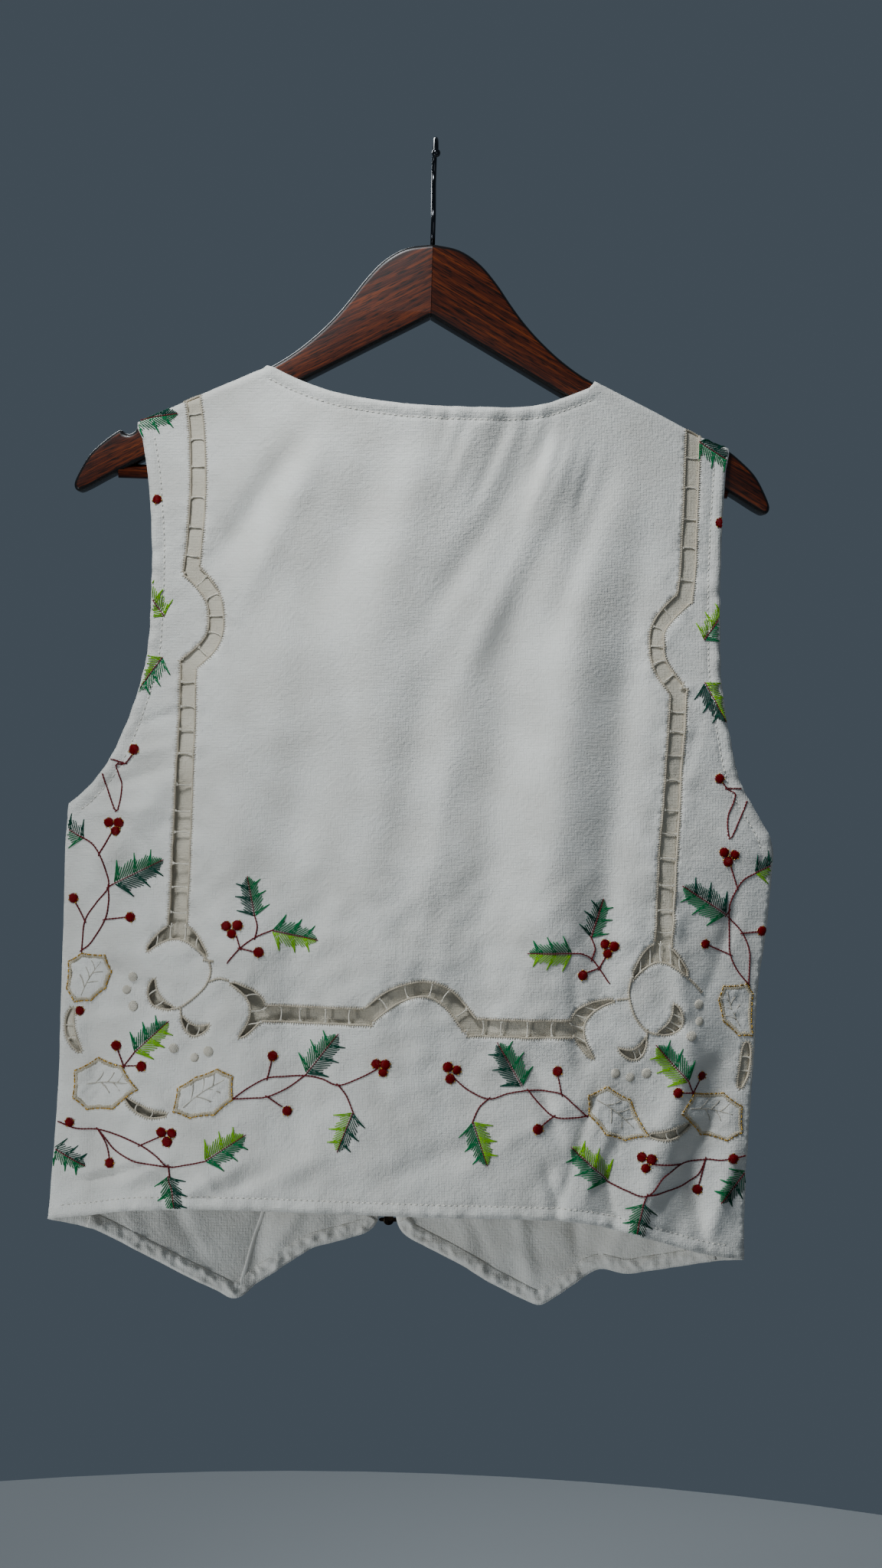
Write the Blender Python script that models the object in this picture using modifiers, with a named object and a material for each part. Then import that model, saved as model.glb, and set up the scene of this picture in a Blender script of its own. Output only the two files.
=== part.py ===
"""A cotton waistcoat with cutwork ladders, hanging on a contoured wooden hanger.

Lengths in the tables are millimetres. X runs along the hanger, -Y is the side of
the waistcoat's back and +Z is up. The origin is the inside of the hook's crown,
where it bears on the rail that it hangs from.
"""

import math
from collections import namedtuple

import bmesh
import bpy
from mathutils import Vector
from mathutils.geometry import delaunay_2d_cdt

MM = 0.001

# Cloth
WALL = 1.6
SEAM_GAP = 0.3
REST_GAP = 0.8
SIDE_Y = 20.0

# How closely the flat patterns are filled with points
GRID_STEP = 15.0
FRONT_GRID_STEP = 20.0
ROW_SHARE = 0.87
EDGE_SHARE = 0.45
GAP_MARGIN = 5.0
GAP_SEARCH = 60.0
EDGE_STEP = 12.0
LEAST_EDGE = 1.2
LEAST_AREA = 0.02
ON_EDGE = 0.01
SIDE_END = 6.0
SIDE_STEPS = 18
SHOULDER_STEPS = 7
CREASE_STEPS = 10

# Hanger
ARM_ANGLE = math.radians(9.0)
ARM_THICKNESS = 13.0
ARM_EDGE_ROUND = 3.0
ARM_OUTLINE_STEP = 6.0
NOTCH_START = 184.0
BAR_RADIUS = 4.5
BAR_REACH = 196.0
BAR_Y = 29.6
BAR_Z = -209.5
HOOK_WIRE_RADIUS = 1.5
HOOK_INNER_RADIUS = 15.5
HOOK_BALL_RADIUS = 2.7
HOOK_END_ANGLE = math.radians(16.0)
HOOK_BEND_Z = -48.0

# How the cloth leaves the hanger: it bears on the arm over SEAT_REACH, then swings out to the body
SEAT_FALL = 70.0
SEAT_FREE = 8.0
BODY_TOP_Z = -150.0
BODY_FALL = 280.0
BACK_TOP_Y = -8.0
BACK_TOP_ROUND = 30.0
FRONT_TOP_Y = 40.0
BODY_ROUNDNESS = 2.5

ArmEdge = namedtuple("ArmEdge", "along top bottom")
ARM_EDGES = (
    ArmEdge(0.0, -65.0, -110.7),
    ArmEdge(16.5, -67.6, -119.2),
    ArmEdge(30.0, -75.4, -126.1),
    ArmEdge(41.3, -87.2, -131.9),
    ArmEdge(50.0, -98.8, -136.4),
    ArmEdge(59.0, -109.8, -141.0),
    ArmEdge(70.0, -120.9, -146.7),
    ArmEdge(85.0, -133.2, -154.4),
    ArmEdge(102.0, -143.6, -163.2),
    ArmEdge(147.0, -163.4, -185.6),
    ArmEdge(184.0, -180.0, -204.2),
    ArmEdge(197.0, -184.0, -210.8),
)
ArmEnd = namedtuple("ArmEnd", "along height")
ARM_END = (
    ArmEnd(186.5, -184.4),
    ArmEnd(190.0, -186.4),
    ArmEnd(194.0, -185.6),
    ArmEnd(196.5, -183.9),
    ArmEnd(205.5, -190.2),
    ArmEnd(214.5, -198.4),
    ArmEnd(221.0, -208.6),
    ArmEnd(225.2, -218.6),
    ArmEnd(222.6, -223.2),
    ArmEnd(217.0, -221.6),
    ArmEnd(205.0, -215.0),
)

# The body below the underarm: where the side seams lie, and how far back and fronts stand apart
Section = namedtuple("Section", "z left right back_depth front_depth")
SECTIONS = (
    Section(-140.0, -221.0, 230.0, 20.0, 20.0),
    Section(-424.0, -219.5, 230.0, 30.0, 31.0),
    Section(-450.0, -220.5, 229.6, 31.0, 33.0),
    Section(-490.0, -220.4, 227.0, 32.0, 34.0),
    Section(-530.0, -220.4, 222.6, 32.0, 34.0),
    Section(-575.0, -220.3, 221.4, 32.0, 34.0),
    Section(-615.0, -221.0, 219.6, 33.0, 35.0),
    Section(-650.0, -222.6, 218.4, 33.0, 35.0),
    Section(-705.0, -225.2, 218.6, 33.0, 35.0),
    Section(-745.0, -225.4, 218.6, 33.0, 35.0),
)

Point = namedtuple("Point", "x z")
NECK_LEFT = -101.5
NECK_RIGHT = 106.0
SHOULDER_LEFT = -183.0
SHOULDER_RIGHT = 194.5
BACK_NECK = (
    Point(-97.0, -144.0),
    Point(-78.7, -152.5),
    Point(-56.0, -159.9),
    Point(-22.7, -165.1),
    Point(10.0, -166.6),
    Point(50.0, -165.4),
    Point(71.4, -162.2),
    Point(84.0, -157.6),
    Point(102.0, -149.6),
)
BACK_ARMHOLE_LEFT = (
    Point(-179.5, -190.0),
    Point(-174.6, -217.7),
    Point(-171.0, -258.0),
    Point(-170.4, -295.8),
    Point(-171.8, -325.4),
    Point(-176.8, -349.6),
    Point(-187.5, -381.2),
    Point(-197.2, -399.8),
    Point(-209.1, -414.1),
    Point(-219.3, -422.5),
)
BACK_ARMHOLE_RIGHT = (
    Point(192.6, -196.0),
    Point(191.0, -227.3),
    Point(190.0, -270.0),
    Point(191.1, -311.6),
    Point(193.3, -339.4),
    Point(201.5, -380.6),
    Point(208.7, -400.8),
    Point(216.3, -413.3),
    Point(225.6, -428.3),
    Point(229.6, -440.0),
)
BACK_HEM = (
    Point(-224.9, -685.4),
    Point(-196.5, -680.8),
    Point(-167.3, -676.0),
    Point(-110.4, -672.8),
    Point(-15.8, -673.0),
    Point(43.5, -673.6),
    Point(100.5, -674.8),
    Point(129.9, -679.6),
    Point(159.3, -687.6),
    Point(189.2, -696.4),
    Point(218.6, -701.4),
)
FRONT_ARMHOLE_LEFT = (
    Point(-177.0, -196.0),
    Point(-166.0, -235.0),
    Point(-159.0, -285.0),
    Point(-160.0, -330.0),
    Point(-170.0, -368.0),
    Point(-188.0, -398.0),
    Point(-206.0, -415.0),
    Point(-219.3, -424.0),
)
FRONT_ARMHOLE_RIGHT = (
    Point(189.0, -202.0),
    Point(180.0, -240.0),
    Point(175.0, -290.0),
    Point(178.0, -338.0),
    Point(188.0, -376.0),
    Point(204.0, -408.0),
    Point(218.0, -429.0),
    Point(229.6, -441.0),
)
FRONT_NECK_LEFT = (
    Point(-14.0, -340.0),
    Point(-22.0, -322.0),
    Point(-48.0, -270.0),
    Point(-76.0, -206.0),
    Point(-92.0, -168.0),
    Point(-99.0, -150.0),
)
FRONT_NECK_RIGHT = (
    Point(-3.0, -340.0),
    Point(7.0, -322.0),
    Point(38.0, -270.0),
    Point(72.0, -210.0),
    Point(93.0, -172.0),
    Point(103.0, -154.0),
)
FRONT_HEM_LEFT = (
    Point(-224.9, -686.0),
    Point(-202.2, -691.8),
    Point(-188.8, -697.6),
    Point(-140.4, -723.8),
    Point(-119.1, -734.2),
    Point(-106.2, -739.6),
    Point(-91.7, -729.9),
    Point(-72.8, -716.9),
    Point(-57.2, -707.0),
    Point(-45.4, -703.4),
    Point(-30.1, -699.2),
    Point(-20.5, -695.0),
    Point(-15.4, -688.5),
    Point(-13.0, -677.0),
)
FRONT_HEM_RIGHT = (
    Point(218.6, -702.0),
    Point(202.6, -704.4),
    Point(183.7, -708.8),
    Point(159.2, -714.5),
    Point(145.7, -716.8),
    Point(132.4, -714.9),
    Point(124.6, -717.4),
    Point(113.0, -726.0),
    Point(99.5, -736.0),
    Point(90.2, -740.2),
    Point(78.1, -735.9),
    Point(57.9, -726.1),
    Point(38.1, -714.9),
    Point(13.9, -703.4),
    Point(2.6, -697.2),
    Point(-2.6, -689.5),
    Point(-4.4, -678.0),
)

# Soft folds of the cloth: a ridge has a negative height on the back, towards -Y
Fold = namedtuple("Fold", "x_top z_top x_foot z_foot half_width height")
BACK_FOLDS = (
    Fold(101.0, -262.0, 82.0, -520.0, 17.0, -5.5),
    Fold(62.0, -235.0, 38.0, -560.0, 17.0, 4.5),
    Fold(138.0, -250.0, 116.0, -540.0, 13.0, 4.5),
    Fold(96.0, -178.0, 30.0, -330.0, 9.0, -3.0),
    Fold(76.0, -180.0, 4.0, -300.0, 9.0, 2.6),
    Fold(124.0, -176.0, 84.0, -300.0, 9.0, 3.0),
    Fold(-104.0, -205.0, -136.0, -300.0, 14.0, 3.0),
    Fold(-122.0, -330.0, -112.0, -560.0, 20.0, -3.0),
    Fold(-30.0, -300.0, -10.0, -640.0, 24.0, -3.0),
    Fold(-76.0, -380.0, -66.0, -640.0, 18.0, 3.0),
    Fold(-206.0, -470.0, -150.0, -400.0, 10.0, -2.5),
    Fold(200.0, -600.0, 170.0, -685.0, 12.0, -3.5),
    Fold(140.0, -600.0, 128.0, -672.0, 13.0, 3.0),
    Fold(-190.0, -640.0, -120.0, -668.0, 9.0, 2.2),
)
FRONT_FOLDS = (
    Fold(-120.0, -240.0, -104.0, -640.0, 20.0, 4.5),
    Fold(-60.0, -340.0, -56.0, -690.0, 16.0, -3.5),
    Fold(-170.0, -430.0, -160.0, -680.0, 15.0, -3.0),
    Fold(128.0, -240.0, 98.0, -640.0, 20.0, 4.5),
    Fold(52.0, -340.0, 44.0, -690.0, 16.0, -3.5),
    Fold(170.0, -450.0, 150.0, -690.0, 14.0, -3.5),
    Fold(122.0, -560.0, 128.0, -705.0, 17.0, 4.0),
)
FOLD_END_SHARE = 0.28
NECK_GATHER_HEIGHT = 1.1
NECK_GATHER_PITCH = 15.0
NECK_GATHER_FALL = 55.0
NECK_GATHER_START = -5.0
NECK_GATHER_END = 118.0
NECK_GATHER_FADE = 25.0

# Cutwork: a ladder is a band of open gaps between thread bars
BAR_WIDTH = 2.2
Rail = namedtuple("Rail", "x z half_width")
LADDER_LEFT_TOP = (
    Rail(-146.2, -176.0, 4.2),
    Rail(-144.0, -200.0, 4.5),
    Rail(-143.0, -225.0, 4.6),
    Rail(-143.8, -250.0, 4.8),
    Rail(-145.2, -271.0, 4.8),
)
LADDER_LEFT_BUMP = (
    Rail(-143.4, -276.0, 4.6),
    Rail(-136.4, -282.6, 5.0),
    Rail(-131.0, -291.0, 4.8),
    Rail(-129.0, -301.0, 4.8),
    Rail(-129.6, -313.5, 4.8),
    Rail(-135.0, -322.8, 5.0),
    Rail(-143.6, -329.6, 4.6),
)
LADDER_LEFT_LOW = (
    Rail(-145.6, -334.0, 4.8),
    Rail(-145.0, -360.0, 5.0),
    Rail(-145.6, -400.0, 5.2),
    Rail(-146.0, -440.0, 5.6),
    Rail(-146.9, -492.0, 5.8),
)
LADDER_RIGHT_TOP = (
    Rail(170.8, -184.0, 3.7),
    Rail(170.2, -205.0, 4.2),
    Rail(169.4, -235.0, 4.6),
    Rail(169.0, -262.0, 4.9),
    Rail(167.0, -279.0, 4.9),
)
LADDER_RIGHT_BUMP = (
    Rail(163.6, -284.0, 4.8),
    Rail(155.4, -292.8, 4.8),
    Rail(150.4, -301.4, 4.4),
    Rail(149.8, -311.6, 4.4),
    Rail(151.4, -321.4, 4.6),
    Rail(156.4, -330.0, 5.0),
    Rail(162.0, -336.0, 5.0),
)
LADDER_RIGHT_LOW = (
    Rail(164.4, -342.0, 5.0),
    Rail(163.4, -368.0, 5.2),
    Rail(162.0, -405.0, 5.4),
    Rail(160.2, -445.0, 5.7),
    Rail(158.8, -495.0, 5.0),
)
LADDER_ACROSS_LEFT = (
    Rail(-86.6, -549.4, 4.7),
    Rail(-60.0, -549.6, 4.7),
    Rail(-27.0, -549.5, 4.7),
)
LADDER_ACROSS_RISE = (
    Rail(-23.0, -546.6, 4.6),
    Rail(-12.0, -537.2, 4.6),
    Rail(2.0, -531.9, 4.4),
    Rail(12.6, -531.8, 4.6),
    Rail(24.6, -538.0, 5.0),
    Rail(35.0, -550.6, 5.2),
)
LADDER_ACROSS_RIGHT = (
    Rail(40.4, -554.6, 4.9),
    Rail(66.0, -554.8, 5.0),
    Rail(93.6, -554.4, 5.0),
)
Ladder = namedtuple("Ladder", "rails gaps")
LADDERS = (
    Ladder(LADDER_LEFT_TOP, 6),
    Ladder(LADDER_LEFT_BUMP, 5),
    Ladder(LADDER_LEFT_LOW, 11),
    Ladder(LADDER_RIGHT_TOP, 6),
    Ladder(LADDER_RIGHT_BUMP, 5),
    Ladder(LADDER_RIGHT_LOW, 10),
    Ladder(LADDER_ACROSS_LEFT, 4),
    Ladder(LADDER_ACROSS_RISE, 5),
    Ladder(LADDER_ACROSS_RIGHT, 3),
)

# A crescent lies between two arcs through the same tips. A bulge is to the left of tip A to tip B
Crescent = namedtuple("Crescent", "ax az bx bz outer_bulge inner_bulge gaps")
CRESCENTS = (
    Crescent(-167.5, -514.6, -126.4, -517.0, 20.4, 10.8, 5),
    Crescent(-147.5, -548.6, -161.2, -529.6, 10.8, 3.2, 3),
    Crescent(-107.0, -566.4, -114.4, -530.0, -20.4, -11.0, 4),
    Crescent(-124.2, -557.8, -143.2, -552.8, 10.2, 3.4, 3),
    Crescent(138.6, -523.0, 175.9, -521.2, 22.6, 10.6, 5),
    Crescent(117.4, -575.0, 130.6, -535.4, 23.8, 14.6, 5),
    Crescent(167.6, -537.0, 156.6, -556.9, 11.4, 2.6, 3),
    Crescent(149.8, -559.4, 131.2, -566.4, 10.8, 3.8, 3),
    Crescent(-149.0, -614.6, -177.6, -605.0, 7.2, 1.8, 3),
    Crescent(181.0, -613.0, 152.6, -620.6, 6.2, 0.6, 3),
    Crescent(-206.0, -580.0, -212.6, -550.0, 7.6, 1.2, 3),
    Crescent(212.6, -592.8, 216.4, -561.0, -4.6, 2.2, 3),
)
CRESCENT_TIP_SHARE = 0.1
ARC_POINTS = 3

# The gathered strip inside each front's lower edge
FACING_WALL = 1.0
FACING_INSET = 0.8
FACING_WIDTH = 9.0
FACING_STEP = 7.0
FACING_SIDE_GAP = 9.0
FACING_PUCKER = 0.25
FACING_GAP = 0.8

# The clasps that join the two fronts edge to edge
CLASP_RADIUS = 3.5
CLASP_DEPTH = 3.0
CLASP_BAR = (12.6, 1.6, 2.6)
CLASP_X = -8.2
CLASP_HEIGHTS = (-352.0, -464.0, -576.0, -688.0)


def clear_scene():
    for obj in list(bpy.data.objects):
        bpy.data.objects.remove(obj)


def make_material(name, colour, roughness, metallic=0.0):
    material = bpy.data.materials.new(name)
    material.use_nodes = True
    shader = material.node_tree.nodes["Principled BSDF"]
    shader.inputs["Base Color"].default_value = (*colour, 1.0)
    shader.inputs["Roughness"].default_value = roughness
    shader.inputs["Metallic"].default_value = metallic
    return material


def smooth_step(share):
    share = min(1.0, max(0.0, share))
    return share * share * (3.0 - 2.0 * share)


def blend(first, second, share):
    return first + (second - first) * share


def along_rows(rows, place, key, column):
    """The column's value where the key column has this place, on a smooth curve through the rows."""
    rows = sorted(rows, key=lambda row: getattr(row, key))
    places = [getattr(row, key) for row in rows]
    values = [getattr(row, column) for row in rows]
    if place <= places[0]:
        return values[0]
    if place >= places[-1]:
        return values[-1]
    index = next(i for i in range(len(rows) - 1) if place <= places[i + 1])

    def slope(i):
        low, high = max(i - 1, 0), min(i + 1, len(rows) - 1)
        return (values[high] - values[low]) / (places[high] - places[low])

    span = places[index + 1] - places[index]
    share = (place - places[index]) / span
    start, end = slope(index) * span, slope(index + 1) * span
    rise = share * share * (3.0 - 2.0 * share)
    return (
        blend(values[index], values[index + 1], rise)
        + start * share * (1.0 - share) ** 2
        - end * share * share * (1.0 - share)
    )


def arm_middle_y(x):
    return abs(x) * math.tan(ARM_ANGLE)


def arm_top(x):
    return along_rows(ARM_EDGES, abs(x) / math.cos(ARM_ANGLE), "along", "top")


def seat_line(x):
    """Height of the middle of the cloth's wall where it crosses the top of the arm."""
    return arm_top(x) + REST_GAP + WALL / 2.0


# The cloth goes flat over the arm's top, round its edge on this radius, then down
SEAT_FLAT = ARM_THICKNESS / 2.0 - ARM_EDGE_ROUND
SEAT_ROUND = ARM_EDGE_ROUND + REST_GAP + WALL / 2.0
SEAT_LENGTH = SEAT_FLAT + SEAT_ROUND * math.pi / 2.0
SEAT_REACH = SEAT_FLAT + SEAT_ROUND


def pattern_top(x):
    """The cloth's own height of the shoulder seam, measured along the cloth."""
    return seat_line(x) - SEAT_ROUND + SEAT_LENGTH


def side_share(x, z):
    """0 in the middle of the body, 1 at a side seam."""
    column = "left" if x < 0.0 else "right"
    return min(1.0, abs(x / along_rows(SECTIONS, z, "z", column)))


def fold_depth(folds, x, z):
    depth = 0.0
    for fold in folds:
        run_x, run_z = fold.x_foot - fold.x_top, fold.z_foot - fold.z_top
        length = math.hypot(run_x, run_z)
        share = ((x - fold.x_top) * run_x + (z - fold.z_top) * run_z) / length**2
        across = ((x - fold.x_top) * run_z - (z - fold.z_top) * run_x) / length
        ends = smooth_step((share + FOLD_END_SHARE) / (2.0 * FOLD_END_SHARE))
        ends *= smooth_step((1.0 + FOLD_END_SHARE - share) / (2.0 * FOLD_END_SHARE))
        depth += fold.height * ends * math.exp(-((across / fold.half_width) ** 2))
    return depth


def neck_gathers(x, z):
    fall = max(0.0, 1.0 - (BACK_NECK[5].z - z) / NECK_GATHER_FALL)
    reach = smooth_step((x - NECK_GATHER_START) / NECK_GATHER_FADE)
    reach *= smooth_step((NECK_GATHER_END - x) / NECK_GATHER_FADE)
    return NECK_GATHER_HEIGHT * fall * reach * math.sin(2.0 * math.pi * x / NECK_GATHER_PITCH)


def on_arm(x, height, side):
    """(y, z, depth) of the cloth at its own height, bearing on the arm on this side of it."""
    over = pattern_top(x) - height
    edge_z = seat_line(x) - SEAT_ROUND
    if over <= SEAT_FLAT:
        return arm_middle_y(x) + side * over, seat_line(x), 0.0
    if over <= SEAT_LENGTH:
        angle = (over - SEAT_FLAT) / SEAT_ROUND
        y = arm_middle_y(x) + side * (SEAT_FLAT + SEAT_ROUND * math.sin(angle))
        return y, edge_z + SEAT_ROUND * math.cos(angle), 0.0
    return arm_middle_y(x) + side * SEAT_REACH, height, edge_z - height


def back_point(x, height):
    """Where the back's cloth lies, from its place on the flat pattern."""
    seat_y, z, depth = on_arm(x, height, -1.0)
    if depth == 0.0:
        return Vector((x, seat_y, z)) * MM
    rounded = math.hypot(x, BACK_TOP_ROUND) - BACK_TOP_ROUND
    top_y = BACK_TOP_Y + math.tan(ARM_ANGLE) * rounded
    bow = 1.0 - side_share(x, z) ** BODY_ROUNDNESS
    edge_y = SIDE_Y - (WALL + SEAM_GAP) / 2.0
    body_y = edge_y - along_rows(SECTIONS, z, "z", "back_depth") * bow
    hang_y = blend(top_y, body_y, smooth_step((BODY_TOP_Z - z) / BODY_FALL))
    loose = smooth_step(depth / SEAT_FALL) * smooth_step((1.0 - side_share(x, z)) / 0.12)
    hang_y += loose * (fold_depth(BACK_FOLDS, x, z) + neck_gathers(x, z))
    return Vector((x, blend(seat_y, hang_y, smooth_step(depth / SEAT_FALL)), z)) * MM


def front_point(x, height):
    """Where a front's cloth lies, from its place on the flat pattern."""
    seat_y, z, depth = on_arm(x, height, 1.0)
    if depth == 0.0:
        return Vector((x, seat_y, z)) * MM
    bow = 1.0 - side_share(x, z) ** BODY_ROUNDNESS
    edge_y = SIDE_Y + (WALL + SEAM_GAP) / 2.0
    body_y = edge_y + along_rows(SECTIONS, z, "z", "front_depth") * bow
    hang_y = blend(FRONT_TOP_Y, body_y, smooth_step((BODY_TOP_Z - z) / BODY_FALL))
    loose = smooth_step(depth / SEAT_FALL) * smooth_step((1.0 - side_share(x, z)) / 0.12)
    hang_y += loose * fold_depth(FRONT_FOLDS, x, z)
    return Vector((x, blend(seat_y, hang_y, smooth_step(depth * 2.0 / SEAT_FALL)), z)) * MM


def spaced(points, step, closed=True):
    """The same outline with long stretches divided, and points that are too close left out."""
    result = [points[0]]
    for point in points[1:] + points[: int(closed)]:
        start = result[-1]
        length = math.hypot(point.x - start.x, point.z - start.z)
        if length < LEAST_EDGE:
            continue
        count = max(1, round(length / step))
        for i in range(1, count + 1):
            share = i / count
            result.append(Point(blend(start.x, point.x, share), blend(start.z, point.z, share)))
    return result[:-1] if closed else result


def shoulder_run(x_start, x_end):
    """The shoulder seam on the flat pattern, with its ends turned down over the arm's edge."""
    middle = blend(SEAT_FLAT, SEAT_LENGTH, 0.5)
    neck_turn, tip_turn = (SEAT_FLAT, middle), (SEAT_FLAT, middle, SEAT_LENGTH)
    outward = abs(x_end) > abs(x_start)
    first, last = (neck_turn, tip_turn) if outward else (tip_turn, neck_turn)
    points = [Point(x_start, pattern_top(x_start) - over) for over in reversed(first)]
    for i in range(SHOULDER_STEPS + 1):
        x = blend(x_start, x_end, i / SHOULDER_STEPS)
        points.append(Point(x, pattern_top(x) - SEAM_GAP / 2.0))
    return points + [Point(x_end, pattern_top(x_end) - over) for over in last]


def side_run(column, z_start, z_end):
    """A side seam on the flat pattern, from the section table."""
    heights = [blend(z_start, z_end, i / SIDE_STEPS) for i in range(SIDE_STEPS + 1)]
    return [Point(along_rows(SECTIONS, z, "z", column), z) for z in heights]


def back_outline():
    hem = list(BACK_HEM)
    points = list(BACK_NECK)
    points += shoulder_run(NECK_RIGHT, SHOULDER_RIGHT)
    points += BACK_ARMHOLE_RIGHT
    points += side_run("right", BACK_ARMHOLE_RIGHT[-1].z - SIDE_END, hem[-1].z + SIDE_END)
    points += reversed(hem)
    points += side_run("left", hem[0].z + SIDE_END, BACK_ARMHOLE_LEFT[-1].z - SIDE_END)
    points += reversed(BACK_ARMHOLE_LEFT)
    points += shoulder_run(SHOULDER_LEFT, NECK_LEFT)
    return spaced(points, EDGE_STEP)


def front_outline(neck, armhole, hem, column, neck_x, shoulder_x):
    points = list(neck)
    points += shoulder_run(neck_x, shoulder_x)
    points += armhole
    points += side_run(column, armhole[-1].z - SIDE_END, hem[0].z + SIDE_END)
    points += hem
    return spaced(points, EDGE_STEP)


def ladder_gaps(ladder):
    """The open gaps of one ladder, each a four-cornered outline between two bars."""
    rails = ladder.rails
    lengths = [0.0]
    for a, b in zip(rails, rails[1:]):
        lengths.append(lengths[-1] + math.hypot(b.x - a.x, b.z - a.z))
    Place = namedtuple("Place", "along x z half_width")
    rows = [Place(length, *rail) for length, rail in zip(lengths, rails)]

    def corner(along, side):
        x = along_rows(rows, along, "along", "x")
        z = along_rows(rows, along, "along", "z")
        near, far = max(0.0, along - 1.0), min(lengths[-1], along + 1.0)
        run_x = along_rows(rows, far, "along", "x") - along_rows(rows, near, "along", "x")
        run_z = along_rows(rows, far, "along", "z") - along_rows(rows, near, "along", "z")
        run = math.hypot(run_x, run_z)
        offset = side * along_rows(rows, along, "along", "half_width") / run
        return Point(x - run_z * offset, z + run_x * offset)

    pitch = lengths[-1] / ladder.gaps
    for i in range(ladder.gaps):
        start, end = i * pitch + BAR_WIDTH / 2.0, (i + 1) * pitch - BAR_WIDTH / 2.0
        yield [corner(start, 1.0), corner(end, 1.0), corner(end, -1.0), corner(start, -1.0)]


def arc_point(crescent, bulge, share):
    """A point on the arc through the crescent's tips with this bulge at its middle."""
    chord_x, chord_z = crescent.bx - crescent.ax, crescent.bz - crescent.az
    along = blend(-1.0, 1.0, share)
    rise = bulge * (1.0 - along * along)
    length = math.hypot(chord_x, chord_z)
    x = crescent.ax + chord_x * share - rise * chord_z / length
    return Point(x, crescent.az + chord_z * share + rise * chord_x / length)


def crescent_gaps(crescent):
    """The open gaps of one crescent, between its outer and inner arcs and its bars."""
    length = math.hypot(crescent.bx - crescent.ax, crescent.bz - crescent.az)
    around = length + 2.0 * abs(crescent.outer_bulge)
    bar_share = BAR_WIDTH / around
    pitch = (1.0 - 2.0 * CRESCENT_TIP_SHARE) / crescent.gaps
    for i in range(crescent.gaps):
        start = CRESCENT_TIP_SHARE + i * pitch + bar_share / 2.0
        end = CRESCENT_TIP_SHARE + (i + 1) * pitch - bar_share / 2.0
        shares = [blend(start, end, k / (ARC_POINTS - 1)) for k in range(ARC_POINTS)]
        outer = [arc_point(crescent, crescent.outer_bulge, share) for share in shares]
        inner = [arc_point(crescent, crescent.inner_bulge, share) for share in shares]
        yield outer + inner[::-1]


def inside(outline, x, z):
    found = False
    for a, b in zip(outline, outline[1:] + outline[:1]):
        if (a.z > z) != (b.z > z) and x < a.x + (z - a.z) * (b.x - a.x) / (b.z - a.z):
            found = not found
    return found


def edge_distance(outline, x, z):
    nearest = math.inf
    for a, b in zip(outline, outline[1:] + outline[:1]):
        run_x, run_z = b.x - a.x, b.z - a.z
        share = ((x - a.x) * run_x + (z - a.z) * run_z) / (run_x**2 + run_z**2)
        share = min(1.0, max(0.0, share))
        nearest = min(nearest, math.hypot(x - a.x - share * run_x, z - a.z - share * run_z))
    return nearest


def fits_pattern(outline, gaps, x, z, grid_step):
    """Whether a point of the even filling keeps clear of the edges, the gaps and the arm."""
    if not inside(outline, x, z) or edge_distance(outline, x, z) < grid_step * EDGE_SHARE:
        return False
    if pattern_top(x) - z < SEAT_LENGTH + SEAT_FREE + grid_step * EDGE_SHARE:
        return False
    near = [gap for gap in gaps if math.hypot(gap[0].x - x, gap[0].z - z) < GAP_SEARCH]
    return all(not inside(gap, x, z) and edge_distance(gap, x, z) > GAP_MARGIN for gap in near)


def cloth_panel(name, outline, gaps, creases, place, grid_step, material, collection):
    """A panel of cloth: its flat pattern is filled, laid on its drape, then given its wall."""
    loops = [outline] + gaps
    points = [Vector((p.x, p.z)) for loop in loops for p in loop]
    edges, start = [], 0
    for loop in loops:
        edges += [(start + i, start + (i + 1) % len(loop)) for i in range(len(loop))]
        start += len(loop)
    low_x, high_x = min(p.x for p in outline), max(p.x for p in outline)
    low_z, high_z = min(p.z for p in outline), max(p.z for p in outline)
    for row in creases:
        edges += [(len(points) + i, len(points) + i + 1) for i in range(len(row) - 1)]
        points += [Vector((p.x, p.z)) for p in row]
    for row in range(int((high_z - low_z) / (grid_step * ROW_SHARE))):
        z = high_z - (row + 0.5) * grid_step * ROW_SHARE
        x = low_x + grid_step * (0.5 if row % 2 else 0.25)
        while x < high_x:
            if fits_pattern(outline, gaps, x, z, grid_step):
                points.append(Vector((x, z)))
            x += grid_step
    spots, _, faces = delaunay_2d_cdt(points, edges, [], 0, 1e-4)[:3]
    mesh = bpy.data.meshes.new(name)
    bm = bmesh.new()
    corners = [bm.verts.new(place(p.x, p.y)) for p in spots]
    for face in faces:
        x = sum(spots[i].x for i in face) / len(face)
        z = sum(spots[i].y for i in face) / len(face)
        first, second, third = (spots[i] for i in face)
        area = abs((second - first).cross(third - first)) / 2.0
        if area > LEAST_AREA and inside(outline, x, z) and not any(inside(g, x, z) for g in gaps):
            bm.faces.new([corners[i] for i in face])
    loose = [vert for vert in bm.verts if not vert.link_faces]
    bmesh.ops.delete(bm, geom=loose, context="VERTS")
    bmesh.ops.recalc_face_normals(bm, faces=bm.faces)
    bm.to_mesh(mesh)
    bm.free()
    panel = add_object(name, mesh, material, collection)
    solidify = panel.modifiers.new("wall", "SOLIDIFY")
    solidify.thickness = WALL * MM
    solidify.offset = 0.0
    solidify.use_even_offset = True
    return panel


def add_object(name, data, material, collection):
    obj = bpy.data.objects.new(name, data)
    data.materials.append(material)
    collection.objects.link(obj)
    return obj


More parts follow.
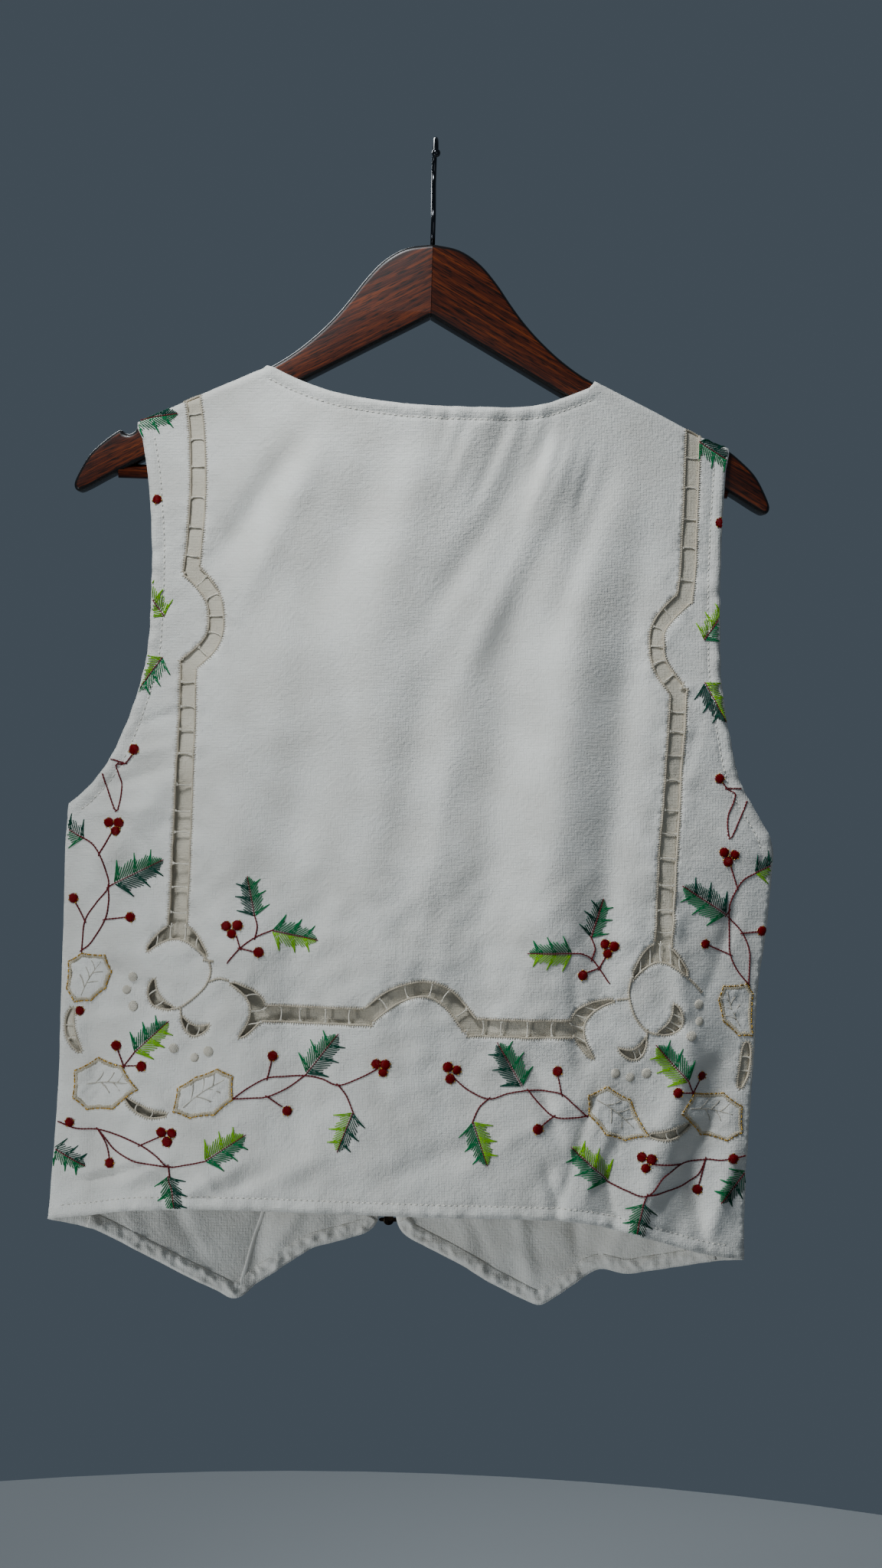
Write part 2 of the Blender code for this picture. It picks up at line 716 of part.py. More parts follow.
def seat_creases(outline, x_start, x_end):
    """Rows of points over the arm's top and edge, where the cloth bends most."""
    middle = blend(SEAT_FLAT, SEAT_LENGTH, 0.5)
    for over in (SEAT_FLAT, middle, SEAT_LENGTH, SEAT_LENGTH + SEAT_FREE):
        row = []
        for i in range(CREASE_STEPS + 1):
            x = blend(x_start, x_end, i / CREASE_STEPS)
            point = Point(x, pattern_top(x) - over)
            gap = edge_distance(outline, *point)
            if gap < ON_EDGE or inside(outline, *point) and gap > SEAT_FLAT / 2.0:
                row.append(point)
        yield row


def normal_at(place, x, height):
    """The direction out of the body, from the drape's own slopes."""
    step = 0.5
    across = place(x + step, height) - place(x - step, height)
    up = place(x, height + step) - place(x, height - step)
    return across.cross(up).normalized()


def offset_inside(hem, index, distance):
    """A point of the hem moved this far up into the cloth, square to the hem."""
    before, after = hem[max(0, index - 1)], hem[min(len(hem) - 1, index + 1)]
    run_x, run_z = after.x - before.x, after.z - before.z
    length = math.hypot(run_x, run_z)
    up = 1.0 if run_x > 0.0 else -1.0
    here = hem[index]
    return Point(here.x - up * run_z / length * distance, here.z + up * run_x / length * distance)


def facing_strip(name, hem, material, collection):
    """The narrow strip on the inside of a front's lower edge, gathered round its curves."""
    run = spaced(list(hem[1:-1]), FACING_STEP, closed=False)
    away = -(WALL + FACING_WALL) / 2.0 - FACING_GAP
    bm = bmesh.new()
    rows = []
    for index in range(len(run)):
        edge = offset_inside(run, index, FACING_INSET)
        top = offset_inside(run, index, FACING_INSET + FACING_WIDTH)
        lift = -FACING_PUCKER * (1 + (-1) ** index)
        row = []
        for point in (edge, top):
            out = normal_at(front_point, point.x, point.z)
            if out.y < 0.0:
                out = -out
            row.append(bm.verts.new(front_point(point.x, point.z) + out * (away + lift) * MM))
        rows.append(row)
    for low, high in zip(rows, rows[1:]):
        bm.faces.new((low[0], high[0], high[1], low[1]))
    bmesh.ops.recalc_face_normals(bm, faces=bm.faces)
    mesh = bpy.data.meshes.new(name)
    bm.to_mesh(mesh)
    bm.free()
    strip = add_object(name, mesh, material, collection)
    solidify = strip.modifiers.new("wall", "SOLIDIFY")
    solidify.thickness = FACING_WALL * MM
    solidify.offset = 0.0
    return strip


def tube(name, points, radius, material, collection, resolution=3):
    curve = bpy.data.curves.new(name, "CURVE")
    curve.dimensions = "3D"
    curve.bevel_depth = radius * MM
    curve.bevel_resolution = resolution
    curve.use_fill_caps = True
    spline = curve.splines.new("POLY")
    spline.points.add(len(points) - 1)
    for spot, point in zip(spline.points, points):
        spot.co = (*(Vector(point) * MM), 1.0)
    return add_object(name, curve, material, collection)


def as_mesh(obj, material, collection):
    """The curve object as a mesh object of the same name, with its caps welded."""
    bpy.context.view_layer.update()
    evaluated = obj.evaluated_get(bpy.context.evaluated_depsgraph_get())
    mesh = bpy.data.meshes.new_from_object(evaluated)
    name, matrix = obj.name, obj.matrix_world.copy()
    bpy.data.objects.remove(obj)
    bm = bmesh.new()
    bm.from_mesh(mesh)
    bmesh.ops.remove_doubles(bm, verts=bm.verts, dist=0.00001)
    bmesh.ops.recalc_face_normals(bm, faces=bm.faces)
    bm.to_mesh(mesh)
    bm.free()
    mesh.materials.clear()
    solid = add_object(name, mesh, material, collection)
    solid.matrix_world = matrix
    return solid


def hanger_arm(name, side, material, collection):
    """One half of the hanger: a flat board with rounded edges, mitred to the other half."""
    inner = ARM_EDGE_ROUND + 6.0
    outline = [(-inner, ARM_EDGES[0].top), (-inner, ARM_EDGES[0].bottom)]
    outline += [(row.along, row.bottom) for row in ARM_EDGES]
    outline += [(point.along, point.height) for point in reversed(ARM_END)]
    count = round(NOTCH_START / ARM_OUTLINE_STEP)
    for i in range(count, -1, -1):
        along = NOTCH_START * i / count
        outline.append((along, along_rows(ARM_EDGES, along, "along", "top")))
    curve = bpy.data.curves.new(name, "CURVE")
    curve.dimensions = "2D"
    curve.fill_mode = "BOTH"
    curve.offset = -ARM_EDGE_ROUND * MM
    curve.extrude = (ARM_THICKNESS / 2.0 - ARM_EDGE_ROUND) * MM
    curve.bevel_depth = ARM_EDGE_ROUND * MM
    curve.bevel_resolution = 1
    spline = curve.splines.new("POLY")
    spline.points.add(len(outline) - 1)
    for spot, (along, height) in zip(spline.points, outline):
        spot.co = (along * MM, height * MM, 0.0, 1.0)
    spline.use_cyclic_u = True
    board = add_object(name, curve, material, collection)
    turn = ARM_ANGLE if side > 0 else math.pi - ARM_ANGLE
    board.rotation_euler = (math.pi / 2.0, 0.0, turn)
    solid = as_mesh(board, material, collection)
    bm = bmesh.new()
    bm.from_mesh(solid.data)
    bm.transform(solid.matrix_world)
    solid.matrix_world.identity()
    cut = bmesh.ops.bisect_plane(
        bm,
        geom=bm.verts[:] + bm.edges[:] + bm.faces[:],
        plane_co=(side * SEAM_GAP / 2.0 * MM, 0.0, 0.0),
        plane_no=(-side, 0.0, 0.0),
        clear_outer=True,
    )
    rim = [edge for edge in cut["geom_cut"] if isinstance(edge, bmesh.types.BMEdge)]
    bmesh.ops.edgeloop_fill(bm, edges=rim)
    bmesh.ops.recalc_face_normals(bm, faces=bm.faces)
    bm.to_mesh(solid.data)
    bm.free()
    return solid


def combine(target, other, operation):
    join = target.modifiers.new("join", "BOOLEAN")
    join.operation = operation
    join.object = other
    other.hide_render = True
    other.display_type = "WIRE"


def turned_bar(name, radius, reach, material, collection):
    """A round bar along X through the arms' ends."""
    bpy.ops.mesh.primitive_cylinder_add(vertices=20, radius=radius * MM, depth=2.0 * reach * MM)
    bar = bpy.context.object
    bar.name = name
    bar.rotation_euler = (0.0, math.pi / 2.0, 0.0)
    bar.location = Vector((0.0, BAR_Y, BAR_Z)) * MM
    bar.data.materials.append(material)
    move_to(bar, collection)
    return bar


def move_to(obj, collection):
    for home in list(obj.users_collection):
        home.objects.unlink(obj)
    collection.objects.link(obj)


def hook_route():
    """Up out of the wood, back in a soft bend, then round over the rail and down in front."""
    radius = HOOK_INNER_RADIUS + HOOK_WIRE_RADIUS
    centre_z = -HOOK_INNER_RADIUS
    foot_z = ARM_EDGES[0].top + SEAM_GAP
    points = [(0.0, 0.0, foot_z), (0.0, 0.0, HOOK_BEND_Z)]
    steps = 8
    for i in range(1, steps):
        share = i / steps
        points.append((0.0, radius * smooth_step(share), blend(HOOK_BEND_Z, centre_z, share)))
    turns = 16
    for i in range(turns + 1):
        angle = blend(0.0, math.pi - HOOK_END_ANGLE, i / turns)
        points.append((0.0, radius * math.cos(angle), centre_z + radius * math.sin(angle)))
    return points


def hanger_hook(material, collection, helpers):
    route = hook_route()
    wire = as_mesh(tube("hanger_hook", route, HOOK_WIRE_RADIUS, material, collection), material, collection)
    bpy.ops.mesh.primitive_uv_sphere_add(segments=14, ring_count=9, radius=HOOK_BALL_RADIUS * MM)
    ball = bpy.context.object
    ball.name = "hook_ball"
    ball.location = Vector(route[-1]) * MM
    move_to(ball, helpers)
    combine(wire, ball, "UNION")
    return wire


def clasp(name, z, material, collection, helpers):
    """A dark round boss on a short bar that spans the opening between the two fronts."""
    ends = (CLASP_X - CLASP_BAR[0] / 2.0, CLASP_X + CLASP_BAR[0] / 2.0)
    rises = (-EDGE_STEP / 2.0, 0.0, EDGE_STEP / 2.0)
    cloth_y = max(front_point(x, z + rise).y / MM for x in ends for rise in rises)
    seat_y = cloth_y + WALL / 2.0 + SEAM_GAP + CLASP_BAR[1] / 2.0
    bpy.ops.mesh.primitive_cylinder_add(vertices=20, radius=CLASP_RADIUS * MM, depth=CLASP_DEPTH * MM)
    boss = bpy.context.object
    boss.rotation_euler = (math.pi / 2.0, 0.0, 0.0)
    boss.location = Vector((CLASP_X, seat_y + (CLASP_BAR[1] - CLASP_DEPTH) / 2.0, z)) * MM
    boss.name = name
    boss.data.materials.append(material)
    bpy.ops.mesh.primitive_cube_add(size=1.0)
    bar = bpy.context.object
    bar.name = name + "_bar"
    bar.scale = Vector(CLASP_BAR) * MM
    bar.location = Vector((CLASP_X, seat_y, z)) * MM
    move_to(boss, collection)
    move_to(bar, helpers)
    combine(boss, bar, "UNION")
    return boss


def main():
    clear_scene()
    parts = bpy.data.collections.new("waistcoat_on_hanger")
    helpers = bpy.data.collections.new("cutters_and_joins")
    for collection in (parts, helpers):
        bpy.context.scene.collection.children.link(collection)
    cotton = make_material("brushed_cotton", (0.79, 0.77, 0.73), 0.92)
    facing = make_material("cotton_bias_strip", (0.76, 0.74, 0.70), 0.92)
    walnut = make_material("stained_walnut", (0.085, 0.028, 0.014), 0.38)
    steel = make_material("black_nickel_wire", (0.16, 0.16, 0.17), 0.2, 1.0)
    dark = make_material("blackened_brass", (0.05, 0.04, 0.035), 0.4, 1.0)

    gaps = [gap for ladder in LADDERS for gap in ladder_gaps(ladder)]
    gaps += [gap for crescent in CRESCENTS for gap in crescent_gaps(crescent)]
    back = back_outline()
    back_creases = list(seat_creases(back, SHOULDER_LEFT, NECK_LEFT))
    back_creases += seat_creases(back, NECK_RIGHT, SHOULDER_RIGHT)
    cloth_panel("back_panel", back, gaps, back_creases, back_point, GRID_STEP, cotton, parts)
    left = front_outline(
        FRONT_NECK_LEFT, FRONT_ARMHOLE_LEFT, FRONT_HEM_LEFT, "left", NECK_LEFT, SHOULDER_LEFT
    )
    right = front_outline(
        FRONT_NECK_RIGHT, FRONT_ARMHOLE_RIGHT, FRONT_HEM_RIGHT, "right", NECK_RIGHT, SHOULDER_RIGHT
    )
    left_creases = list(seat_creases(left, SHOULDER_LEFT, NECK_LEFT))
    right_creases = list(seat_creases(right, NECK_RIGHT, SHOULDER_RIGHT))
    cloth_panel("front_left", left, [], left_creases, front_point, FRONT_GRID_STEP, cotton, parts)
    cloth_panel("front_right", right, [], right_creases, front_point, FRONT_GRID_STEP, cotton, parts)
    facing_strip("front_facing_left", FRONT_HEM_LEFT, facing, parts)
    facing_strip("front_facing_right", FRONT_HEM_RIGHT, facing, parts)
    for number, height in enumerate(CLASP_HEIGHTS, 1):
        clasp(f"front_clasp_{number}", height, dark, parts, helpers)
    turned_bar("trouser_bar", BAR_RADIUS, BAR_REACH, walnut, parts)
    bore = turned_bar("bar_bore", BAR_RADIUS + SEAM_GAP, BAR_REACH + SEAM_GAP, walnut, helpers)
    combine(hanger_arm("hanger_arm_left", -1.0, walnut, parts), bore, "DIFFERENCE")
    combine(hanger_arm("hanger_arm_right", 1.0, walnut, parts), bore, "DIFFERENCE")
    hanger_hook(steel, parts, helpers)


main()
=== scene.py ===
"""How the waistcoat on its wooden hanger looks: brushed white cotton, cutwork, holly stitching and walnut.

Lengths in the tables are millimetres. X runs along the hanger, -Y is the side of the waistcoat's back and
+Z is up. The origin is the inside of the hook's crown, where it bears on the rail that it hangs from.
"""

import math
from collections import namedtuple

import bmesh
import bpy
import numpy as np
from mathutils import Matrix, Vector, noise
from mathutils.geometry import delaunay_2d_cdt


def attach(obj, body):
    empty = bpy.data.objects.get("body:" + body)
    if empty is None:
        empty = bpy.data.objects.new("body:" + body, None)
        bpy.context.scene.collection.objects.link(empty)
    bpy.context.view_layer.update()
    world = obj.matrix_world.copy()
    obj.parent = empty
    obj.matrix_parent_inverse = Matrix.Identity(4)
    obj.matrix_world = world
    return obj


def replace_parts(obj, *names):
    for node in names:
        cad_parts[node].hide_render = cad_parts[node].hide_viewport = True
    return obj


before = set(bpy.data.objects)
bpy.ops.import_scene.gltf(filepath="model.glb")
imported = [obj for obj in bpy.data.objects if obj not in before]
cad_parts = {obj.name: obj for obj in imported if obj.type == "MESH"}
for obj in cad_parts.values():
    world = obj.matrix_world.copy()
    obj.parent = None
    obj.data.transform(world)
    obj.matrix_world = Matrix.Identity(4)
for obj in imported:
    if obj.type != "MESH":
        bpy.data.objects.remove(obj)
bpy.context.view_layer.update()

# The camera stands where the photograph was taken from: level, 1.55 m from the hanger, a little to the
# left of its middle and turned towards it, and tilted on its side by under two degrees.
MM = 0.001
CAMERA_PLACE = Vector((-44.2, -1549.5, -403.1)) * MM
CAMERA_YAW = math.radians(-2.2)
CAMERA_ROLL = math.radians(1.7)
CAMERA_SENSOR = 36.0
CAMERA_LENS = 56.6
CAMERA_NEAR = 0.05
CAMERA_FAR = 30.0

camera_data = bpy.data.cameras.new("photo_camera")
camera_data.sensor_fit = "VERTICAL"
camera_data.sensor_height = CAMERA_SENSOR
camera_data.lens = CAMERA_LENS
camera_data.clip_start = CAMERA_NEAR
camera_data.clip_end = CAMERA_FAR
camera = bpy.data.objects.new("photo_camera", camera_data)
bpy.context.scene.collection.objects.link(camera)
level = Vector((math.cos(CAMERA_YAW), math.sin(CAMERA_YAW), 0.0))
behind = Vector((math.sin(CAMERA_YAW), -math.cos(CAMERA_YAW), 0.0))
upright = Vector((0.0, 0.0, 1.0))
camera_right = level * math.cos(CAMERA_ROLL) + upright * math.sin(CAMERA_ROLL)
camera_up = upright * math.cos(CAMERA_ROLL) - level * math.sin(CAMERA_ROLL)
turn = Matrix((camera_right, camera_up, behind)).transposed()
camera.matrix_world = Matrix.Translation(CAMERA_PLACE) @ turn.to_4x4()
bpy.context.scene.camera = camera


# The hanger's arms: two flat boards of walnut-stained beech, sawn to a shoulder's curve, rounded over at
# the edges and mitred together in the middle. Their rims are painted almost black, partly stain and partly
# painted shade.
ARM_ANGLE = math.radians(9.0)
ARM_THICKNESS = 13.0
ARM_EDGE_ROUND = 3.0
ARM_INNER = 9.0
ARM_STEP = 3.0
ARM_ROUND_STEPS = 4
MITRE_GAP = 0.3
NOTCH_START = 184.0
FLAT_FACE = 0.97
SHARP_EDGE = math.radians(35.0)
GRAIN_SLOPE = math.radians(-27.0)
GRAIN_SHIFT = 0.4
ArmEdge = namedtuple("ArmEdge", "along top bottom")
ARM_EDGES = (
    ArmEdge(0.0, -65.0, -110.7),
    ArmEdge(16.5, -67.6, -119.2),
    ArmEdge(30.0, -75.4, -126.1),
    ArmEdge(41.3, -87.2, -131.9),
    ArmEdge(50.0, -98.8, -136.4),
    ArmEdge(59.0, -109.8, -141.0),
    ArmEdge(70.0, -120.9, -146.7),
    ArmEdge(85.0, -133.2, -154.4),
    ArmEdge(102.0, -143.6, -163.2),
    ArmEdge(147.0, -163.4, -185.6),
    ArmEdge(184.0, -180.0, -204.2),
    ArmEdge(197.0, -184.0, -210.8),
)
ArmEnd = namedtuple("ArmEnd", "along height")
ARM_END = (
    ArmEnd(186.5, -184.4),
    ArmEnd(190.0, -186.4),
    ArmEnd(194.0, -185.6),
    ArmEnd(196.5, -183.9),
    ArmEnd(205.5, -190.2),
    ArmEnd(214.5, -198.4),
    ArmEnd(221.0, -208.6),
    ArmEnd(225.2, -218.6),
    ArmEnd(222.6, -223.2),
    ArmEnd(217.0, -221.6),
    ArmEnd(205.0, -215.0),
)
WALNUT_DARK = "#1C0A05"
WALNUT_MID = "#4B1B07"
WALNUT_LIGHT = "#7C370F"
# Near-black of the arms' rims: partly stain, partly painted shade.
WALNUT_RIM_STAIN_AND_SHADE = "#0D0605"
PORE_DARK = "#5A5A5A"
PORE_FREE = "#FFFFFF"
WALNUT_ROUGHNESS = 0.42
LACQUER_SHARE = 0.15
GRAIN_LENGTH_MM = 60.0
GRAIN_WIDTH_MM = 2.2
PORE_LENGTH_MM = 9.0
PORE_WIDTH_MM = 0.7


def linear(colour):
    """An sRGB hex colour as linear red, green, blue and alpha."""
    shares = [int(colour[i : i + 2], 16) / 255.0 for i in (1, 3, 5)]
    return (*(s / 12.92 if s <= 0.04045 else ((s + 0.055) / 1.055) ** 2.4 for s in shares), 1.0)


def add_node(tree, kind, inputs=None, **settings):
    """Adds a node with its settings. An input is a value, or the output of another node to link."""
    node = tree.nodes.new(kind)
    for name, value in settings.items():
        setattr(node, name, value)
    for name, value in (inputs or {}).items():
        if isinstance(value, bpy.types.NodeSocket):
            tree.links.new(value, node.inputs[name])
        else:
            node.inputs[name].default_value = value
    return node


def new_material(name, values):
    """A material with these values on its shader, and its node tree and shader."""
    material = bpy.data.materials.new(name)
    material.use_nodes = True
    shader = material.node_tree.nodes["Principled BSDF"]
    for socket, value in values.items():
        shader.inputs[socket].default_value = value
    return material, material.node_tree, shader


def add_ramp(tree, amount, stops):
    """A colour that follows an amount through these stops, each a place and a hex colour."""
    node = add_node(tree, "ShaderNodeValToRGB", {"Fac": amount})
    elements = node.color_ramp.elements
    while len(elements) < len(stops):
        elements.new(1.0)
    for element, (place, colour) in zip(elements, stops):
        element.position = place
        element.color = linear(colour)
    return node.outputs["Color"]


def add_relief(tree, shader, height, strength, depth):
    """Gives the shader's surface a relief of this depth in millimetres, from a node's height."""
    bump = add_node(tree, "ShaderNodeBump", {"Height": height, "Strength": strength, "Distance": depth * MM})
    tree.links.new(bump.outputs["Normal"], shader.inputs["Normal"])


def along_rows(rows, at, key, column):
    """The column's values where the key column has these places, on a smooth curve through the rows."""
    rows = sorted(rows, key=lambda row: getattr(row, key))
    places = np.array([getattr(row, key) for row in rows], float)
    values = np.array([getattr(row, column) for row in rows], float)
    slopes = np.empty(len(rows))
    slopes[1:-1] = (values[2:] - values[:-2]) / (places[2:] - places[:-2])
    slopes[0] = (values[1] - values[0]) / (places[1] - places[0])
    slopes[-1] = (values[-1] - values[-2]) / (places[-1] - places[-2])
    index = np.clip(np.searchsorted(places, at, "right") - 1, 0, len(rows) - 2)
    span = places[index + 1] - places[index]
    share = np.clip((at - places[index]) / span, 0.0, 1.0)
    rise = share * share * (3.0 - 2.0 * share)
    level_part = values[index] + (values[index + 1] - values[index]) * rise
    start, end = slopes[index] * span, slopes[index + 1] * span
    return level_part + start * share * (1.0 - share) ** 2 - end * share**2 * (1.0 - share)


def smooth_path(points, step, closed=False):
    """Points about a step apart on a smooth curve through these points."""
    points = np.asarray(points, float)
    count = len(points)
    result = []
    for i in range(count if closed else count - 1):
        if closed:
            a, b, c, d = (points[(i + k) % count] for k in (-1, 0, 1, 2))
        else:
            a, b, c, d = (points[min(max(i + k, 0), count - 1)] for k in (-1, 0, 1, 2))
        parts = max(1, round(float(np.linalg.norm(c - b)) / step))
        for k in range(parts):
            t = k / parts
            curve = 2.0 * b + (c - a) * t + (2.0 * a - 5.0 * b + 4.0 * c - d) * t * t
            result.append((curve + (3.0 * b - a - 3.0 * c + d) * t**3) / 2.0)
    if not closed:
        result.append(points[-1])
    return np.array(result)


def add_piece(name, mesh, slot, *materials):
    """Puts a piece of these materials into the scene, on the waistcoat's one body."""
    piece = bpy.data.objects.new(name, mesh)
    bpy.context.scene.collection.objects.link(piece)
    for material in materials:
        mesh.materials.append(material)
    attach(piece, "root")
    return piece


def hanger_arm(name, side):
    """The mesh of one arm, in place, with a map along its grain, its edges on the second material."""
    ends = [(ARM_EDGES[-1].along, ARM_EDGES[-1].bottom)]
    ends += [(point.along, point.height) for point in reversed(ARM_END)]
    ends += [(NOTCH_START, along_rows(ARM_EDGES, NOTCH_START, "along", "top"))]
    lower = np.arange(0.0, ARM_EDGES[-1].along, ARM_STEP)
    upper = np.arange(NOTCH_START - ARM_STEP, -ARM_STEP / 2.0, -ARM_STEP)
    outline = [(-ARM_INNER, ARM_EDGES[0].top), (-ARM_INNER, ARM_EDGES[0].bottom)]
    outline += zip(lower, along_rows(ARM_EDGES, lower, "along", "bottom"))
    outline += [tuple(point) for point in smooth_path(ends, ARM_STEP / 2.0)]
    outline += zip(upper, along_rows(ARM_EDGES, upper, "along", "top"))
    curve = bpy.data.curves.new(name, "CURVE")
    curve.dimensions = "2D"
    curve.fill_mode = "BOTH"
    curve.offset = -ARM_EDGE_ROUND * MM
    curve.extrude = (ARM_THICKNESS / 2.0 - ARM_EDGE_ROUND) * MM
    curve.bevel_depth = ARM_EDGE_ROUND * MM
    curve.bevel_resolution = ARM_ROUND_STEPS
    spline = curve.splines.new("POLY")
    spline.points.add(len(outline) - 1)
    for spot, (along, height) in zip(spline.points, outline):
        spot.co = (along * MM, height * MM, 0.0, 1.0)
    spline.use_cyclic_u = True
    board = bpy.data.objects.new(name + "_board", curve)
    bpy.context.scene.collection.objects.link(board)
    bpy.context.view_layer.update()
    mesh = bpy.data.meshes.new_from_object(board.evaluated_get(bpy.context.evaluated_depsgraph_get()))
    bpy.data.objects.remove(board)
    mesh.materials.clear()
    bm = bmesh.new()
    bm.from_mesh(mesh)
    bmesh.ops.remove_doubles(bm, verts=bm.verts, dist=0.01 * MM)
    grain = bm.loops.layers.uv.new("grain")
    for face in bm.faces:
        face.material_index = 0 if abs(face.normal.z) > FLAT_FACE else 1
        face.smooth = True
        for loop in face.loops:
            along, height = loop.vert.co.x, loop.vert.co.y
            run = along * math.cos(GRAIN_SLOPE) + height * math.sin(GRAIN_SLOPE)
            across = height * math.cos(GRAIN_SLOPE) - along * math.sin(GRAIN_SLOPE)
            loop[grain].uv = (run + GRAIN_SHIFT * side, across)
    turned = ARM_ANGLE if side > 0 else math.pi - ARM_ANGLE
    bm.transform(Matrix.Rotation(turned, 4, "Z") @ Matrix.Rotation(math.pi / 2.0, 4, "X"))
    cut = bmesh.ops.bisect_plane(
        bm,
        geom=bm.verts[:] + bm.edges[:] + bm.faces[:],
        plane_co=(side * MITRE_GAP / 2.0 * MM, 0.0, 0.0),
        plane_no=(-side, 0.0, 0.0),
        clear_outer=True,
    )
    rim = [edge for edge in cut["geom_cut"] if isinstance(edge, bmesh.types.BMEdge)]
    bmesh.ops.edgeloop_fill(bm, edges=rim)
    bmesh.ops.recalc_face_normals(bm, faces=bm.faces)
    for edge in bm.edges:
        edge.smooth = len(edge.link_faces) != 2 or edge.calc_face_angle(0.0) < SHARP_EDGE
    bm.to_mesh(mesh)
    bm.free()
    return mesh


# Walnut stain on close-grained beech: red-brown with long soft bands and short dark pores along the
# grain, under a thin satin lacquer that keeps a soft shine.
walnut, tree, shader = new_material(
    "walnut_stained_beech",
    {
        "Roughness": WALNUT_ROUGHNESS,
        "Specular IOR Level": 0.35,
        "Coat Weight": LACQUER_SHARE,
        "Coat Roughness": 0.3,
    },
)
where = add_node(tree, "ShaderNodeUVMap", uv_map="grain").outputs["UV"]
grains = []
for length, width, detail in ((GRAIN_LENGTH_MM, GRAIN_WIDTH_MM, 5.0), (PORE_LENGTH_MM, PORE_WIDTH_MM, 2.0)):
    stretch = (1.0 / (length * MM), 1.0 / (width * MM), 1.0)
    stretched = add_node(tree, "ShaderNodeMapping", {"Vector": where, "Scale": stretch}).outputs["Vector"]
    streaks = add_node(tree, "ShaderNodeTexNoise", {"Vector": stretched, "Scale": 1.0, "Detail": detail})
    grains.append(streaks.outputs["Fac"])
bands, pores = grains
tone = add_ramp(tree, bands, ((0.3, WALNUT_DARK), (0.5, WALNUT_MID), (0.72, WALNUT_LIGHT)))
pore_tone = add_ramp(tree, pores, ((0.36, PORE_DARK), (0.5, PORE_FREE)))
stained = add_node(tree, "ShaderNodeMix", data_type="RGBA", blend_type="MULTIPLY")
stained.inputs[0].default_value = 1.0
tree.links.new(tone, stained.inputs[6])
tree.links.new(pore_tone, stained.inputs[7])
tree.links.new(stained.outputs[2], shader.inputs["Base Color"])
add_relief(tree, shader, pores, 0.12, 0.2)

# The rim of each arm is painted near-black: partly the darker stain of the rounded edge, partly painted shade
# on the rim that turns from the light.
walnut_rim_stain_and_shade = new_material(
    "walnut_rim_stain_and_painted_shade",
    {"Base Color": linear(WALNUT_RIM_STAIN_AND_SHADE), "Roughness": WALNUT_ROUGHNESS, "Coat Weight": 0.2},
)[0]

for hand, side in (("left", -1.0), ("right", 1.0)):
    arm_mesh = hanger_arm("hanger_arm_" + hand, side)
    arm = add_piece("walnut_arm_" + hand, arm_mesh, "wood", walnut, walnut_rim_stain_and_shade)
    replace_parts(arm, "hanger_arm_" + hand)


# The trouser bar: a turned dowel of the same stained wood, let into both arms. It runs straight across
# inside the waistcoat, with its grain along it.
BAR_RADIUS = 4.5
BAR_REACH = 195.0
BAR_Y = 29.6
BAR_Z = -209.5
BAR_SIDES = 32


def unit(vectors):
    """These vectors, each made one long."""
    return vectors / np.maximum(np.linalg.norm(vectors, axis=-1, keepdims=True), 1e-9)


def strand(points, ups, width, height, sides):
    """The wall of a cord along a path: its points, and its faces of four corners, both ends closed."""
    points = np.asarray(points, float)
    ups = np.broadcast_to(np.asarray(ups, float), points.shape)
    runs = unit(np.gradient(points, axis=0))
    across = unit(np.cross(ups, runs))
    tops = np.cross(runs, across)
    turns = (np.arange(sides) + 0.5) * 2.0 * math.pi / sides
    width = np.broadcast_to(np.asarray(width, float), len(points))[:, None, None] / 2.0
    height = np.broadcast_to(np.asarray(height, float), len(points))[:, None, None] / 2.0
    ring = across[:, None] * (width * np.cos(turns)[None, :, None])
    ring = ring + tops[:, None] * (height * np.sin(turns)[None, :, None])
    wall = (points[:, None] + ring).reshape(-1, 3)
    row = np.arange(len(points) - 1)[:, None] * sides
    here, after = np.arange(sides), (np.arange(sides) + 1) % sides
    faces = np.stack([row + here, row + after, row + sides + after, row + sides + here], axis=-1)
    caps = [(0, k + 2, k + 1, k) for k in range(1, sides - 1, 2)]
    last = (len(points) - 1) * sides
    caps += [(last, last + k, last + k + 1, last + k + 2) for k in range(1, sides - 1, 2)]
    return wall, np.concatenate([faces.reshape(-1, 4), np.array(caps)])


def smooth_mesh(name, points, faces):
    """A smoothly shaded mesh in metres, of points in millimetres."""
    mesh = bpy.data.meshes.new(name)
    mesh.from_pydata((np.asarray(points) * MM).tolist(), [], faces)
    mesh.polygons.foreach_set("use_smooth", [True] * len(mesh.polygons))
    return mesh


def mesh_of(name, walls):
    """One mesh of several walls."""
    points, faces, count = [], [], 0
    for wall, wall_faces in walls:
        points.append(wall)
        faces.append(wall_faces + count)
        count += len(wall)
    return smooth_mesh(name, np.concatenate(points), np.concatenate(faces).tolist())


bar_run = [(x, BAR_Y, BAR_Z) for x in (-BAR_REACH, 0.0, BAR_REACH)]
bar_wall = strand(bar_run, (0.0, 0.0, 1.0), 2 * BAR_RADIUS, 2 * BAR_RADIUS, BAR_SIDES)
bar_mesh = mesh_of("walnut_bar", [bar_wall])
grain = bar_mesh.uv_layers.new(name="grain")
for loop in bar_mesh.loops:
    spot = bar_mesh.vertices[loop.vertex_index].co
    grain.data[loop.index].uv = (spot.x, spot.z)
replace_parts(add_piece("walnut_bar", bar_mesh, "wood", walnut), "trouser_bar")


